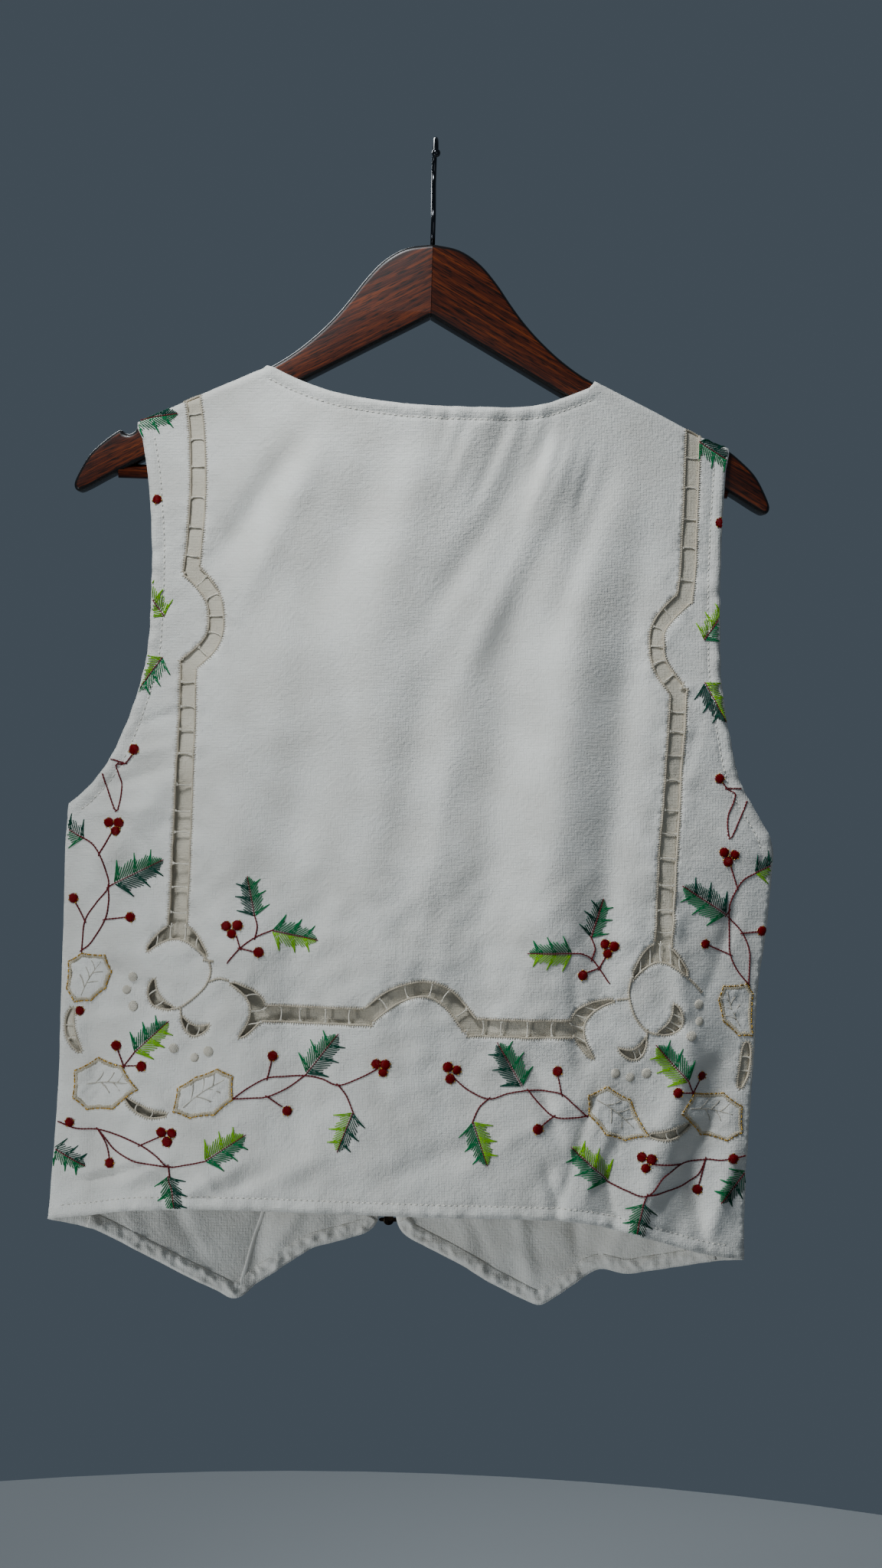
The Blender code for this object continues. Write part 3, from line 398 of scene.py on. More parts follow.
# The hook: 3 mm steel wire, plated black nickel, screwed into the wood and bent over the rail in front,
# with a small ball on its end so that it doesn't scratch.
HOOK_WIRE = 3.0
HOOK_INNER_RADIUS = 15.5
HOOK_BALL_RADIUS = 2.7
HOOK_END_ANGLE = math.radians(16.0)
HOOK_BEND_Z = -48.0
HOOK_FOOT_Z = -65.4
HOOK_SIDES = 20
HOOK_BEND_STEPS = 16
HOOK_TURN_STEPS = 36
BALL_STEPS = 16
BALL_POLE_WIDTH = 0.05
NICKEL = "#4B4C50"


def smooth_step(share):
    share = np.clip(share, 0.0, 1.0)
    return share * share * (3.0 - 2.0 * share)


def blend(first, second, share):
    return first + (second - first) * share


centre = HOOK_INNER_RADIUS + HOOK_WIRE / 2.0
hook_run = [(0.0, 0.0, HOOK_FOOT_Z), (0.0, 0.0, HOOK_BEND_Z)]
for i in range(1, HOOK_BEND_STEPS):
    share = i / HOOK_BEND_STEPS
    hook_run.append((0.0, centre * smooth_step(share), blend(HOOK_BEND_Z, -HOOK_INNER_RADIUS, share)))
for i in range(HOOK_TURN_STEPS + 1):
    angle = (math.pi - HOOK_END_ANGLE) * i / HOOK_TURN_STEPS
    hook_run.append((0.0, centre * math.cos(angle), centre * math.sin(angle) - HOOK_INNER_RADIUS))
ball_run, ball_size = [], []
for i in range(BALL_STEPS + 1):
    angle = math.pi * i / BALL_STEPS
    ball_run.append((0.0, hook_run[-1][1], hook_run[-1][2] + HOOK_BALL_RADIUS * math.cos(angle)))
    ball_size.append(max(BALL_POLE_WIDTH, 2.0 * HOOK_BALL_RADIUS * math.sin(angle)))
hook_walls = [
    strand(hook_run, (1.0, 0.0, 0.0), HOOK_WIRE, HOOK_WIRE, HOOK_SIDES),
    strand(ball_run, (1.0, 0.0, 0.0), ball_size, ball_size, HOOK_SIDES),
]
# Black nickel is a mirror-bright dark metal, so the wire shows small sharp lights on near-black.
nickel = new_material(
    "black_nickel_plate", {"Base Color": linear(NICKEL), "Roughness": 0.14, "Metallic": 1.0}
)[0]
hook = add_piece("nickel_hook", mesh_of("nickel_hook", hook_walls), "hook_wire", nickel)
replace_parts(hook, "hanger_hook")


# The back: one panel of white brushed cotton, cut from a single width and hemmed 8 mm all round. It goes
# over the hanger's arms at the shoulders and hangs in soft folds. The cutwork was cut out after stitching.
CLOTH = 0.8
HEM_CLOTH = 1.5
WALL = 1.6
SEAM_GAP = 0.3
REST_GAP = 0.8
SIDE_Y = 20.0
SEAT_FALL = 70.0
SEAT_FREE = 4.0
BODY_TOP_Z = -150.0
BODY_FALL = 280.0
BACK_TOP_Y = -8.0
BACK_TOP_ROUND = 30.0
FRONT_TOP_Y = 40.0
BODY_ROUNDNESS = 2.5
LOOSE_SHARE = 0.12
GRID = 3.0
LATTICE_ROW = 0.87
SMALLEST_FACE = 0.004
OUTLINE_STEP = 2.4
CLOSEST_POINTS = 0.8
HEM_ROWS = (3.2, 6.4, 7.7, 9.0)
HEM_ROW_CLEAR = 0.25
STITCH_INSET = 7.7
STITCH_DENT = 0.7
STITCH_DENT_WIDTH = 0.8
HEM_EDGE = 1.4
SEAT_ROWS = 1.3
# Fine unevenness of the cloth: its height, the size of its bumps, and a layer that sets it apart from the
# others. The slack is everywhere, and the puckers are near the hems, the cut edges and the stitching.
Uneven = namedtuple("Uneven", "height size layer")
SLACK = Uneven(1.4, 38.0, 5.0)
HEM_PUCKER = Uneven(1.6, 7.0, 3.0)
CUT_PUCKER = Uneven(1.3, 9.0, 8.0)
STITCHED_PUCKER = Uneven(1.1, 13.0, 21.0)
PUCKER_REACH = 10.0
STITCHED_TOP = -420.0
STITCHED_FADE = 60.0
Section = namedtuple("Section", "z left right back_depth front_depth")
SECTIONS = (
    Section(-140.0, -221.0, 230.0, 20.0, 20.0),
    Section(-424.0, -219.5, 230.0, 30.0, 31.0),
    Section(-450.0, -220.5, 229.6, 31.0, 33.0),
    Section(-490.0, -220.4, 227.0, 32.0, 34.0),
    Section(-530.0, -220.4, 222.6, 32.0, 34.0),
    Section(-575.0, -220.3, 221.4, 32.0, 34.0),
    Section(-615.0, -221.0, 219.6, 33.0, 35.0),
    Section(-650.0, -222.6, 218.4, 33.0, 35.0),
    Section(-705.0, -225.2, 218.6, 33.0, 35.0),
    Section(-745.0, -225.4, 218.6, 33.0, 35.0),
)
NECK_LEFT, NECK_RIGHT = -101.5, 106.0
SHOULDER_LEFT, SHOULDER_RIGHT = -183.0, 194.5
BACK_NECK = (
    (-97.0, -144.0), (-78.7, -152.5), (-56.0, -159.9), (-22.7, -165.1), (10.0, -166.6),
    (50.0, -165.4), (71.4, -162.2), (84.0, -157.6), (102.0, -149.6),
)
BACK_ARMHOLE_LEFT = (
    (-179.5, -190.0), (-174.6, -217.7), (-171.0, -258.0), (-170.4, -295.8), (-171.8, -325.4),
    (-176.8, -349.6), (-187.5, -381.2), (-197.2, -399.8), (-209.1, -414.1), (-219.3, -422.5),
)
BACK_ARMHOLE_RIGHT = (
    (192.6, -196.0), (191.0, -227.3), (190.0, -270.0), (191.1, -311.6), (193.3, -339.4),
    (201.5, -380.6), (208.7, -400.8), (216.3, -413.3), (225.6, -428.3), (229.6, -440.0),
)
BACK_HEM = (
    (-224.9, -685.4), (-196.5, -680.8), (-167.3, -676.0), (-110.4, -672.8), (-15.8, -673.0),
    (43.5, -673.6), (100.5, -674.8), (129.9, -679.6), (159.3, -687.6), (189.2, -696.4), (218.6, -701.4),
)
# Soft folds and creases: a ridge has a negative height on the back, towards -Y.
Fold = namedtuple("Fold", "x_top z_top x_foot z_foot half_width height")
BACK_FOLDS = (
    Fold(101.0, -262.0, 82.0, -520.0, 17.0, -5.5),
    Fold(62.0, -235.0, 38.0, -560.0, 17.0, 4.5),
    Fold(138.0, -250.0, 116.0, -540.0, 13.0, 4.5),
    Fold(96.0, -178.0, 30.0, -330.0, 9.0, -3.0),
    Fold(76.0, -180.0, 4.0, -300.0, 9.0, 2.6),
    Fold(124.0, -176.0, 84.0, -300.0, 9.0, 3.0),
    Fold(-82.0, -190.0, -130.0, -268.0, 9.0, 3.4),
    Fold(-70.0, -200.0, -112.0, -290.0, 10.0, -3.0),
    Fold(-20.0, -190.0, -70.0, -300.0, 16.0, 2.4),
    Fold(-60.0, -440.0, -96.0, -520.0, 13.0, -2.4),
    Fold(6.0, -330.0, -14.0, -470.0, 13.0, 2.6),
    Fold(-204.0, -540.0, -186.0, -660.0, 14.0, 3.0),
    Fold(-122.0, -330.0, -112.0, -560.0, 20.0, -3.0),
    Fold(-30.0, -300.0, -10.0, -640.0, 24.0, -3.0),
    Fold(-76.0, -380.0, -66.0, -640.0, 18.0, 3.0),
    Fold(-206.0, -470.0, -150.0, -400.0, 10.0, -2.5),
    Fold(206.0, -560.0, 176.0, -680.0, 14.0, 5.0),
    Fold(182.0, -560.0, 150.0, -676.0, 11.0, -4.0),
    Fold(-4.0, -200.0, -34.0, -330.0, 15.0, -2.6),
    Fold(-92.0, -300.0, -84.0, -400.0, 16.0, -2.8),
    Fold(140.0, -600.0, 128.0, -672.0, 13.0, 3.0),
    Fold(-206.0, -655.0, -166.0, -645.0, 3.6, -2.6),
    Fold(-212.0, -662.0, -172.0, -651.0, 3.4, 2.4),
    Fold(-178.0, -660.0, -148.0, -644.0, 3.4, -2.2),
    Fold(-172.0, -666.0, -140.0, -655.0, 3.6, 2.0),
    Fold(-138.0, -664.0, -96.0, -640.0, 4.6, -2.2),
    Fold(-128.0, -668.0, -84.0, -648.0, 4.2, 2.0),
    Fold(-88.0, -654.0, -46.0, -634.0, 7.0, -1.6),
    Fold(-20.0, -652.0, 44.0, -628.0, 9.0, 1.8),
)
BACK_CREASES = (
    Fold(108.0, -182.0, 96.0, -232.0, 3.4, 0.9),
    Fold(88.0, -172.0, 64.0, -236.0, 3.6, -0.8),
    Fold(52.0, -174.0, 30.0, -226.0, 4.0, 0.8),
    Fold(30.0, -172.0, 16.0, -214.0, 3.6, -0.6),
    Fold(-176.0, -372.0, -152.0, -362.0, 3.0, 0.7),
    Fold(-184.0, -392.0, -154.0, -384.0, 3.4, -0.8),
    Fold(-198.0, -412.0, -156.0, -398.0, 3.8, 0.8),
    Fold(-206.0, -428.0, -168.0, -424.0, 4.0, -0.7),
    Fold(-172.0, -300.0, -154.0, -294.0, 3.2, 0.6),
    Fold(206.0, -420.0, 172.0, -400.0, 4.0, 0.8),
    Fold(222.0, -446.0, 196.0, -430.0, 4.0, -0.9),
    Fold(178.0, -360.0, 168.0, -396.0, 3.6, 0.7),
    Fold(-160.0, -650.0, -136.0, -668.0, 3.8, 1.3),
    Fold(-128.0, -652.0, -112.0, -668.0, 3.6, -1.2),
    Fold(88.0, -640.0, 96.0, -668.0, 3.8, 1.2),
    Fold(70.0, -560.0, 96.0, -626.0, 5.0, 1.2),
    Fold(124.0, -640.0, 132.0, -676.0, 4.0, 1.4),
    Fold(178.0, -640.0, 192.0, -690.0, 5.0, 1.5),
    Fold(160.0, -460.0, 176.0, -560.0, 6.0, -1.2),
    Fold(-186.0, -430.0, -150.0, -470.0, 5.0, 1.2),
    Fold(-200.0, -446.0, -162.0, -500.0, 5.0, -1.2),
    Fold(-196.0, -520.0, -158.0, -548.0, 5.0, 1.2),
    Fold(-208.0, -560.0, -170.0, -552.0, 4.4, -0.7),
    Fold(-168.0, -598.0, -120.0, -640.0, 5.0, -0.8),
    Fold(-20.0, -600.0, 30.0, -640.0, 7.0, 0.8),
    Fold(60.0, -628.0, 104.0, -600.0, 5.0, -0.8),
    Fold(96.0, -668.0, 118.0, -596.0, 3.6, 1.1),
    Fold(112.0, -660.0, 130.0, -612.0, 3.4, -0.9),
    Fold(160.0, -670.0, 196.0, -610.0, 5.0, 1.2),
    Fold(196.0, -684.0, 212.0, -628.0, 4.4, -1.0),
    Fold(186.0, -540.0, 206.0, -476.0, 5.0, 0.9),
    Fold(108.0, -578.0, 100.0, -512.0, 5.0, 0.8),
    Fold(-132.0, -512.0, -96.0, -546.0, 5.0, 0.7),
    Fold(-30.0, -420.0, -52.0, -340.0, 9.0, 0.7),
    Fold(10.0, -470.0, 22.0, -380.0, 8.0, -0.7),
)
FOLD_END_SHARE = 0.28
CREASE_DEPTH = 2.0
NECK_GATHER_HEIGHT = 0.8
NECK_GATHER_PITCH = 15.0
NECK_GATHER_FALL = 55.0
NECK_GATHER_START = -5.0
NECK_GATHER_END = 118.0
NECK_GATHER_FADE = 25.0
NECK_GATHER_TOP = -165.4
NECK_GATHER_LEAN = 0.35
NECK_GATHER_WANDER = 4.0
NECK_GATHER_WANDER_LENGTH = 13.0
SEAT_FLAT = ARM_THICKNESS / 2.0 - ARM_EDGE_ROUND
SEAT_ROUND = ARM_EDGE_ROUND + REST_GAP + WALL / 2.0
SEAT_LENGTH = SEAT_FLAT + SEAT_ROUND * math.pi / 2.0


def arm_middle_y(x):
    return np.abs(x) * math.tan(ARM_ANGLE)


def seat_line(x):
    """Height of the middle of the cloth where it crosses the top of the arm."""
    top = along_rows(ARM_EDGES, np.abs(x) / math.cos(ARM_ANGLE), "along", "top")
    return top + REST_GAP + WALL / 2.0


def pattern_top(x):
    """The cloth's own height of the shoulder seam, measured along the cloth."""
    return seat_line(x) - SEAT_ROUND + SEAT_LENGTH


def side_share(x, z):
    """0 in the middle of the body, 1 at a side seam."""
    reach = np.where(x < 0.0, along_rows(SECTIONS, z, "z", "left"), along_rows(SECTIONS, z, "z", "right"))
    return np.minimum(1.0, np.abs(x / reach))


def fold_depth(folds, x, z):
    depth = np.zeros(np.shape(x))
    for fold in folds:
        run_x, run_z = fold.x_foot - fold.x_top, fold.z_foot - fold.z_top
        length = math.hypot(run_x, run_z)
        share = ((x - fold.x_top) * run_x + (z - fold.z_top) * run_z) / length**2
        across = ((x - fold.x_top) * run_z - (z - fold.z_top) * run_x) / length
        ends = smooth_step((share + FOLD_END_SHARE) / (2.0 * FOLD_END_SHARE))
        ends = ends * smooth_step((1.0 + FOLD_END_SHARE - share) / (2.0 * FOLD_END_SHARE))
        depth += fold.height * ends * np.exp(-((across / fold.half_width) ** 2))
    return depth


def neck_gathers(x, z):
    fall = np.maximum(0.0, 1.0 - (NECK_GATHER_TOP - z) / NECK_GATHER_FALL)
    reach = smooth_step((x - NECK_GATHER_START) / NECK_GATHER_FADE)
    reach = reach * smooth_step((NECK_GATHER_END - x) / NECK_GATHER_FADE)
    bent = x + NECK_GATHER_LEAN * (NECK_GATHER_TOP - z)
    bent = bent + NECK_GATHER_WANDER * np.sin(x / NECK_GATHER_WANDER_LENGTH)
    return NECK_GATHER_HEIGHT * fall * reach * np.sin(2.0 * math.pi * bent / NECK_GATHER_PITCH)


def on_arm(x, height, side):
    """y, z and depth below the arm of the cloth at its own height, on this side of the arm."""
    over = pattern_top(x) - height
    edge_z = seat_line(x) - SEAT_ROUND
    angle = np.clip((over - SEAT_FLAT) / SEAT_ROUND, 0.0, math.pi / 2.0)
    reach = np.minimum(over, SEAT_FLAT) + SEAT_ROUND * np.sin(angle)
    on_it = over <= SEAT_LENGTH
    z = np.where(on_it, edge_z + SEAT_ROUND * np.cos(angle), height)
    return arm_middle_y(x) + side * reach, z, np.where(on_it, 0.0, edge_z - height)


def back_point(x, height):
    """Where the middle of the back's cloth lies, from its place on the flat pattern."""
    seat_y, z, depth = on_arm(x, height, -1.0)
    top_y = BACK_TOP_Y + math.tan(ARM_ANGLE) * (np.hypot(x, BACK_TOP_ROUND) - BACK_TOP_ROUND)
    bow = 1.0 - side_share(x, z) ** BODY_ROUNDNESS
    body_y = SIDE_Y - (WALL + SEAM_GAP) / 2.0 - along_rows(SECTIONS, z, "z", "back_depth") * bow
    hang_y = blend(top_y, body_y, smooth_step((BODY_TOP_Z - z) / BODY_FALL))
    free = smooth_step(depth / SEAT_FALL)
    loose = free * smooth_step((1.0 - side_share(x, z)) / LOOSE_SHARE)
    hang_y = hang_y + loose * (fold_depth(BACK_FOLDS, x, z) + neck_gathers(x, z))
    hang_y = hang_y + free * CREASE_DEPTH * fold_depth(BACK_CREASES, x, z)
    return np.stack([x, blend(seat_y, hang_y, free), z], axis=-1)


# A panel is its drape, the side that its outer face is on, its outline, the gaps cut in it, its hems and
# the thickness of its cloth.
Panel = namedtuple("Panel", "drape facing outline gaps hems cloth")


def edges_of(lines, closed):
    """The ends of every edge of these lines."""
    starts = np.concatenate([line if closed else line[:-1] for line in lines])
    ends = np.concatenate([np.roll(line, -1, axis=0) if closed else line[1:] for line in lines])
    return zip(starts, ends)


def inside(loop, spots):
    """Whether each spot is inside a closed line."""
    found = np.zeros(len(spots), bool)
    x, z = spots[:, 0], spots[:, 1]
    for (ax, az), (bx, bz) in edges_of([loop], True):
        if az != bz:
            found ^= ((az > z) != (bz > z)) & (x < ax + (z - az) * (bx - ax) / (bz - az))
    return found


def in_cloth(outline, gaps, spots):
    """Whether each spot is inside the outline and outside every gap."""
    found = inside(outline, spots)
    for gap in gaps:
        past_low = (spots >= gap.min(axis=0)).all(axis=1)
        near = past_low & (spots <= gap.max(axis=0)).all(axis=1) & found
        found[near] = ~inside(gap, spots[near])
    return found


def distance_to(lines, spots, closed=True):
    """How far each spot is from the nearest of these lines."""
    nearest = np.full(len(spots), 1e9)
    x, z = spots[:, 0], spots[:, 1]
    for (ax, az), (bx, bz) in edges_of(lines, closed) if lines else ():
        run_x, run_z = bx - ax, bz - az
        square = max(run_x**2 + run_z**2, 1e-9)
        share = np.clip(((x - ax) * run_x + (z - az) * run_z) / square, 0.0, 1.0)
        nearest = np.minimum(nearest, (x - ax - share * run_x) ** 2 + (z - az - share * run_z) ** 2)
    return np.sqrt(nearest)


def square_to(points):
    """The way to the left of a path, square to it, at each of its points."""
    run = unit(np.gradient(points, axis=0))
    return np.stack([-run[:, 1], run[:, 0]], axis=1)


def inset_line(outline, line, inset):
    """The line moved by this much to the inner side of the outline."""
    moved = [line + square_to(line) * inset * turned for turned in (1.0, -1.0)]
    return max(moved, key=lambda row: inside(outline, row).sum())


def hem_row(panel, hem, inset):
    """The line this far inside a hem's edge, in order, without the points that come too near another edge."""
    row = inset_line(panel.outline, hem, inset)
    clear = distance_to([panel.outline], row) > inset - HEM_ROW_CLEAR
    return row[inside(panel.outline, row) & clear]


def uneven_rise(spots, uneven):
    """How far soft unevenness of this kind lifts the cloth at each spot."""
    size, layer = uneven.size, uneven.layer
    return uneven.height * np.array([noise.noise(Vector((x / size, z / size, layer))) for x, z in spots])


def drape_normal(drape, x, height):
    """The way square to the cloth, towards the back's side, from its place on the flat pattern."""
    across = drape(x + 0.5, height) - drape(x - 0.5, height)
    up = drape(x, height + 0.5) - drape(x, height - 0.5)
    return unit(np.cross(across, up))


def cloth_faces(panel, spots):
    """The cloth's middle at these spots, the way out of it, and its outer and inner faces from there."""
    x, z = spots[:, 0], spots[:, 1]
    out = drape_normal(panel.drape, x, z) * panel.facing
    hem = distance_to(panel.hems, spots, closed=False)
    hemmed = smooth_step((STITCH_INSET + HEM_EDGE / 2.0 - hem) / HEM_EDGE)
    thick = blend(panel.cloth, HEM_CLOTH, hemmed)
    dent = STITCH_DENT * np.exp(-(((hem - STITCH_INSET) / STITCH_DENT_WIDTH) ** 2))
    cut = distance_to(panel.gaps, spots)
    rise = uneven_rise(spots, SLACK)
    rise += uneven_rise(spots, HEM_PUCKER) * np.exp(-((hem / PUCKER_REACH) ** 2))
    rise += uneven_rise(spots, CUT_PUCKER) * np.exp(-((cut / PUCKER_REACH) ** 2))
    rise += uneven_rise(spots, STITCHED_PUCKER) * smooth_step((STITCHED_TOP - z) / STITCHED_FADE)
    rise *= np.clip((pattern_top(x) - z - SEAT_LENGTH) / SEAT_FALL, 0.0, 1.0)
    middle = panel.drape(x, z) + out * rise[:, None]
    return middle, out, thick / 2.0 - dent, thick / 2.0


def map_weave(mesh, flat):
    """Gives each of a mesh's points its place on the flat pattern, in metres, as a map for the weave."""
    corners = np.empty(len(mesh.loops), int)
    mesh.loops.foreach_get("vertex_index", corners)
    weave_map = mesh.uv_layers.new(name="weave")
    weave_map.data.foreach_set("uv", (np.asarray(flat) * MM)[corners].reshape(-1))


def cloth_mesh(name, panel, grid):
    """A panel of cloth: its flat pattern is filled, laid on its drape, and given its two faces and edge."""
    loops = [panel.outline] + panel.gaps
    edges, start = [], 0
    for loop in loops:
        edges += [(start + i, start + (i + 1) % len(loop)) for i in range(len(loop))]
        start += len(loop)
    low, high = panel.outline.min(axis=0), panel.outline.max(axis=0)
    lattice = []
    for row, z in enumerate(np.arange(low[1], high[1], grid * LATTICE_ROW)):
        x = np.arange(low[0] + (row % 2) * grid / 2.0, high[0], grid)
        lattice.append(np.stack([x, np.full(len(x), z)], axis=1))
    lattice = np.concatenate(lattice)
    lattice = lattice[in_cloth(panel.outline, panel.gaps, lattice)]
    lattice = lattice[distance_to(loops, lattice) > grid * 0.5]
    lattice = lattice[distance_to(panel.hems, lattice, closed=False) > HEM_ROWS[-1] + grid * 0.4]
    seat = SEAT_LENGTH + SEAT_FREE
    lattice = lattice[pattern_top(lattice[:, 0]) - lattice[:, 1] > seat + grid * 0.5]
    rows = [hem_row(panel, hem, inset) for hem in panel.hems for inset in HEM_ROWS]
    x = np.arange(low[0], high[0], grid)
    rows += [np.stack([x, pattern_top(x) - over], axis=1) for over in np.arange(SEAT_ROWS, seat, SEAT_ROWS)]
    rows = np.concatenate(rows)
    rows = rows[in_cloth(panel.outline, panel.gaps, rows)]
    rows = rows[distance_to(loops, rows) > SEAT_ROWS * 0.8]
    every = np.concatenate(loops + [lattice, rows])
    filled = delaunay_2d_cdt([Vector(spot) for spot in every.tolist()], edges, [], 0, 0.05)
    flat = np.array([tuple(spot) for spot in filled[0]])
    faces = np.array([face for face in filled[2] if len(face) == 3])
    first, second = flat[faces[:, 1]] - flat[faces[:, 0]], flat[faces[:, 2]] - flat[faces[:, 0]]
    area = (first[:, 0] * second[:, 1] - first[:, 1] * second[:, 0]) / 2.0
    faces = np.where(area[:, None] * panel.facing > 0.0, faces, faces[:, ::-1])
    in_it = in_cloth(panel.outline, panel.gaps, flat[faces].mean(axis=1))
    faces = faces[(np.abs(area) > SMALLEST_FACE) & in_it]
    used = np.unique(faces)
    index = np.zeros(len(flat), int)
    index[used] = np.arange(len(used))
    flat, faces = flat[used], index[faces]
    middle, out, outer, inner = cloth_faces(panel, flat)
    count = len(flat)
    sides = np.concatenate([faces[:, [0, 1]], faces[:, [1, 2]], faces[:, [2, 0]]]).tolist()
    known = {tuple(side) for side in sides}
    rim = [side for side in sides if (side[1], side[0]) not in known]
    shell = faces.tolist() + (faces[:, ::-1] + count).tolist()
    shell += [(b, a, a + count, b + count) for a, b in rim]
    points = np.concatenate([middle + out * outer[:, None], middle - out * inner[:, None]])
    mesh = smooth_mesh(name, points, shell)
    map_weave(mesh, np.concatenate([flat, flat]))
    return mesh


def shoulder_run(x_start, x_end):
    """The shoulder seam on the flat pattern, with its ends turned down over the arm's edge."""
    over = np.array((SEAT_FLAT, blend(SEAT_FLAT, SEAT_LENGTH, 0.5), SEAT_LENGTH))
    outward = abs(x_end) > abs(x_start)
    first, last = (over[:1], over) if outward else (over, over[:1])
    points = [(x_start, float(pattern_top(x_start)) - drop) for drop in first[::-1]]
    for x in np.linspace(x_start, x_end, 30):
        points.append((x, float(pattern_top(x)) - SEAM_GAP / 2.0))
    return points + [(x_end, float(pattern_top(x_end)) - drop) for drop in last]


def side_run(column, z_start, z_end):
    """A side seam on the flat pattern, from the section table."""
    heights = np.linspace(z_start, z_end, 40)
    return list(zip(along_rows(SECTIONS, heights, "z", column), heights))


def even_loop(parts, step):
    """One closed outline of several runs, each smooth, with points that fall together left out."""
    points = np.concatenate([smooth_path(part, step) for part in parts])
    kept = [points[0]]
    for point in points[1:]:
        if np.hypot(*(point - kept[-1])) > CLOSEST_POINTS:
            kept.append(point)
    if np.hypot(*(kept[-1] - kept[0])) < CLOSEST_POINTS:
        kept.pop()
    return np.array(kept)


back_outline = even_loop(
    (
        BACK_NECK,
        shoulder_run(NECK_RIGHT, SHOULDER_RIGHT),
        BACK_ARMHOLE_RIGHT,
        side_run("right", BACK_ARMHOLE_RIGHT[-1][1] - 2.0, BACK_HEM[-1][1] + 2.0),
        BACK_HEM[::-1],
        side_run("left", BACK_HEM[0][1] + 2.0, BACK_ARMHOLE_LEFT[-1][1] - 2.0),
        BACK_ARMHOLE_LEFT[::-1],
        shoulder_run(SHOULDER_LEFT, NECK_LEFT),
    ),
    OUTLINE_STEP,
)

# The cutwork's ladders: bands cut out between two rails. A rail row gives the band's middle and its half
# width, and the rungs are shares of the way along it.
Rail = namedtuple("Rail", "x z half_width")
Ladder = namedtuple("Ladder", "rails rungs")
LADDERS = (
    Ladder(
        (
            Rail(-148.6, -162.0, 4.6), Rail(-145.6, -180.0, 4.6), Rail(-143.6, -205.0, 4.8),
            Rail(-143.0, -228.0, 4.8), Rail(-143.8, -250.0, 4.8), Rail(-145.6, -275.0, 4.9),
        ),
        (0.1, 0.25, 0.4, 0.58, 0.74, 0.9),
    ),
    Ladder(
        (
            Rail(-146.6, -272.6, 4.8), Rail(-137.4, -281.4, 5.0), Rail(-131.0, -291.0, 4.8),
            Rail(-129.0, -301.0, 4.8), Rail(-129.6, -313.5, 4.8), Rail(-135.0, -322.8, 5.0),
            Rail(-146.0, -333.0, 4.8),
        ),
        (0.14, 0.31, 0.48, 0.64, 0.82),
    ),
    Ladder(
        (
            Rail(-145.8, -330.0, 4.8), Rail(-145.0, -360.0, 5.0), Rail(-145.6, -400.0, 5.2),
            Rail(-146.0, -440.0, 5.6), Rail(-147.0, -500.0, 5.8),
        ),
        (0.079, 0.173, 0.256, 0.347, 0.459, 0.556, 0.637, 0.75, 0.84, 0.93),
    ),
    Ladder(
        (
            Rail(170.6, -172.0, 4.4), Rail(170.2, -200.0, 4.6), Rail(169.4, -235.0, 4.6),
            Rail(169.0, -262.0, 4.9), Rail(167.0, -283.0, 4.9),
        ),
        (0.16, 0.34, 0.52, 0.69, 0.87),
    ),
    Ladder(
        (
            Rail(167.0, -280.4, 4.8), Rail(156.4, -291.4, 4.8), Rail(150.4, -301.4, 4.4),
            Rail(149.8, -311.6, 4.4), Rail(151.4, -321.4, 4.6), Rail(156.4, -330.4, 5.0),
            Rail(163.6, -339.0, 5.0),
        ),
        (0.2, 0.38, 0.54, 0.7, 0.86),
    ),
    Ladder(
        (
            Rail(164.6, -338.0, 5.0), Rail(163.4, -368.0, 5.2), Rail(162.0, -405.0, 5.4),
            Rail(160.2, -445.0, 5.7), Rail(158.6, -502.0, 5.2),
        ),
        (0.09, 0.17, 0.26, 0.36, 0.47, 0.56, 0.66, 0.76, 0.86, 0.94),
    ),
    Ladder(
        (Rail(-93.6, -549.2, 4.9), Rail(-60.0, -549.6, 4.9), Rail(-23.6, -549.5, 4.9)),
        (0.18, 0.36, 0.58, 0.8),
    ),
    Ladder(
        (
            Rail(-27.0, -549.4, 4.6), Rail(-13.0, -537.8, 4.8), Rail(2.0, -531.9, 4.4),
            Rail(12.6, -531.8, 4.6), Rail(24.6, -538.0, 5.0), Rail(38.0, -554.0, 5.4),
        ),
        (0.16, 0.37, 0.56, 0.69, 0.87),
    ),
    Ladder(
        (Rail(36.0, -554.6, 5.2), Rail(66.0, -554.8, 5.2), Rail(102.6, -554.4, 5.2)),
        (0.14, 0.32, 0.56, 0.8),
    ),
)
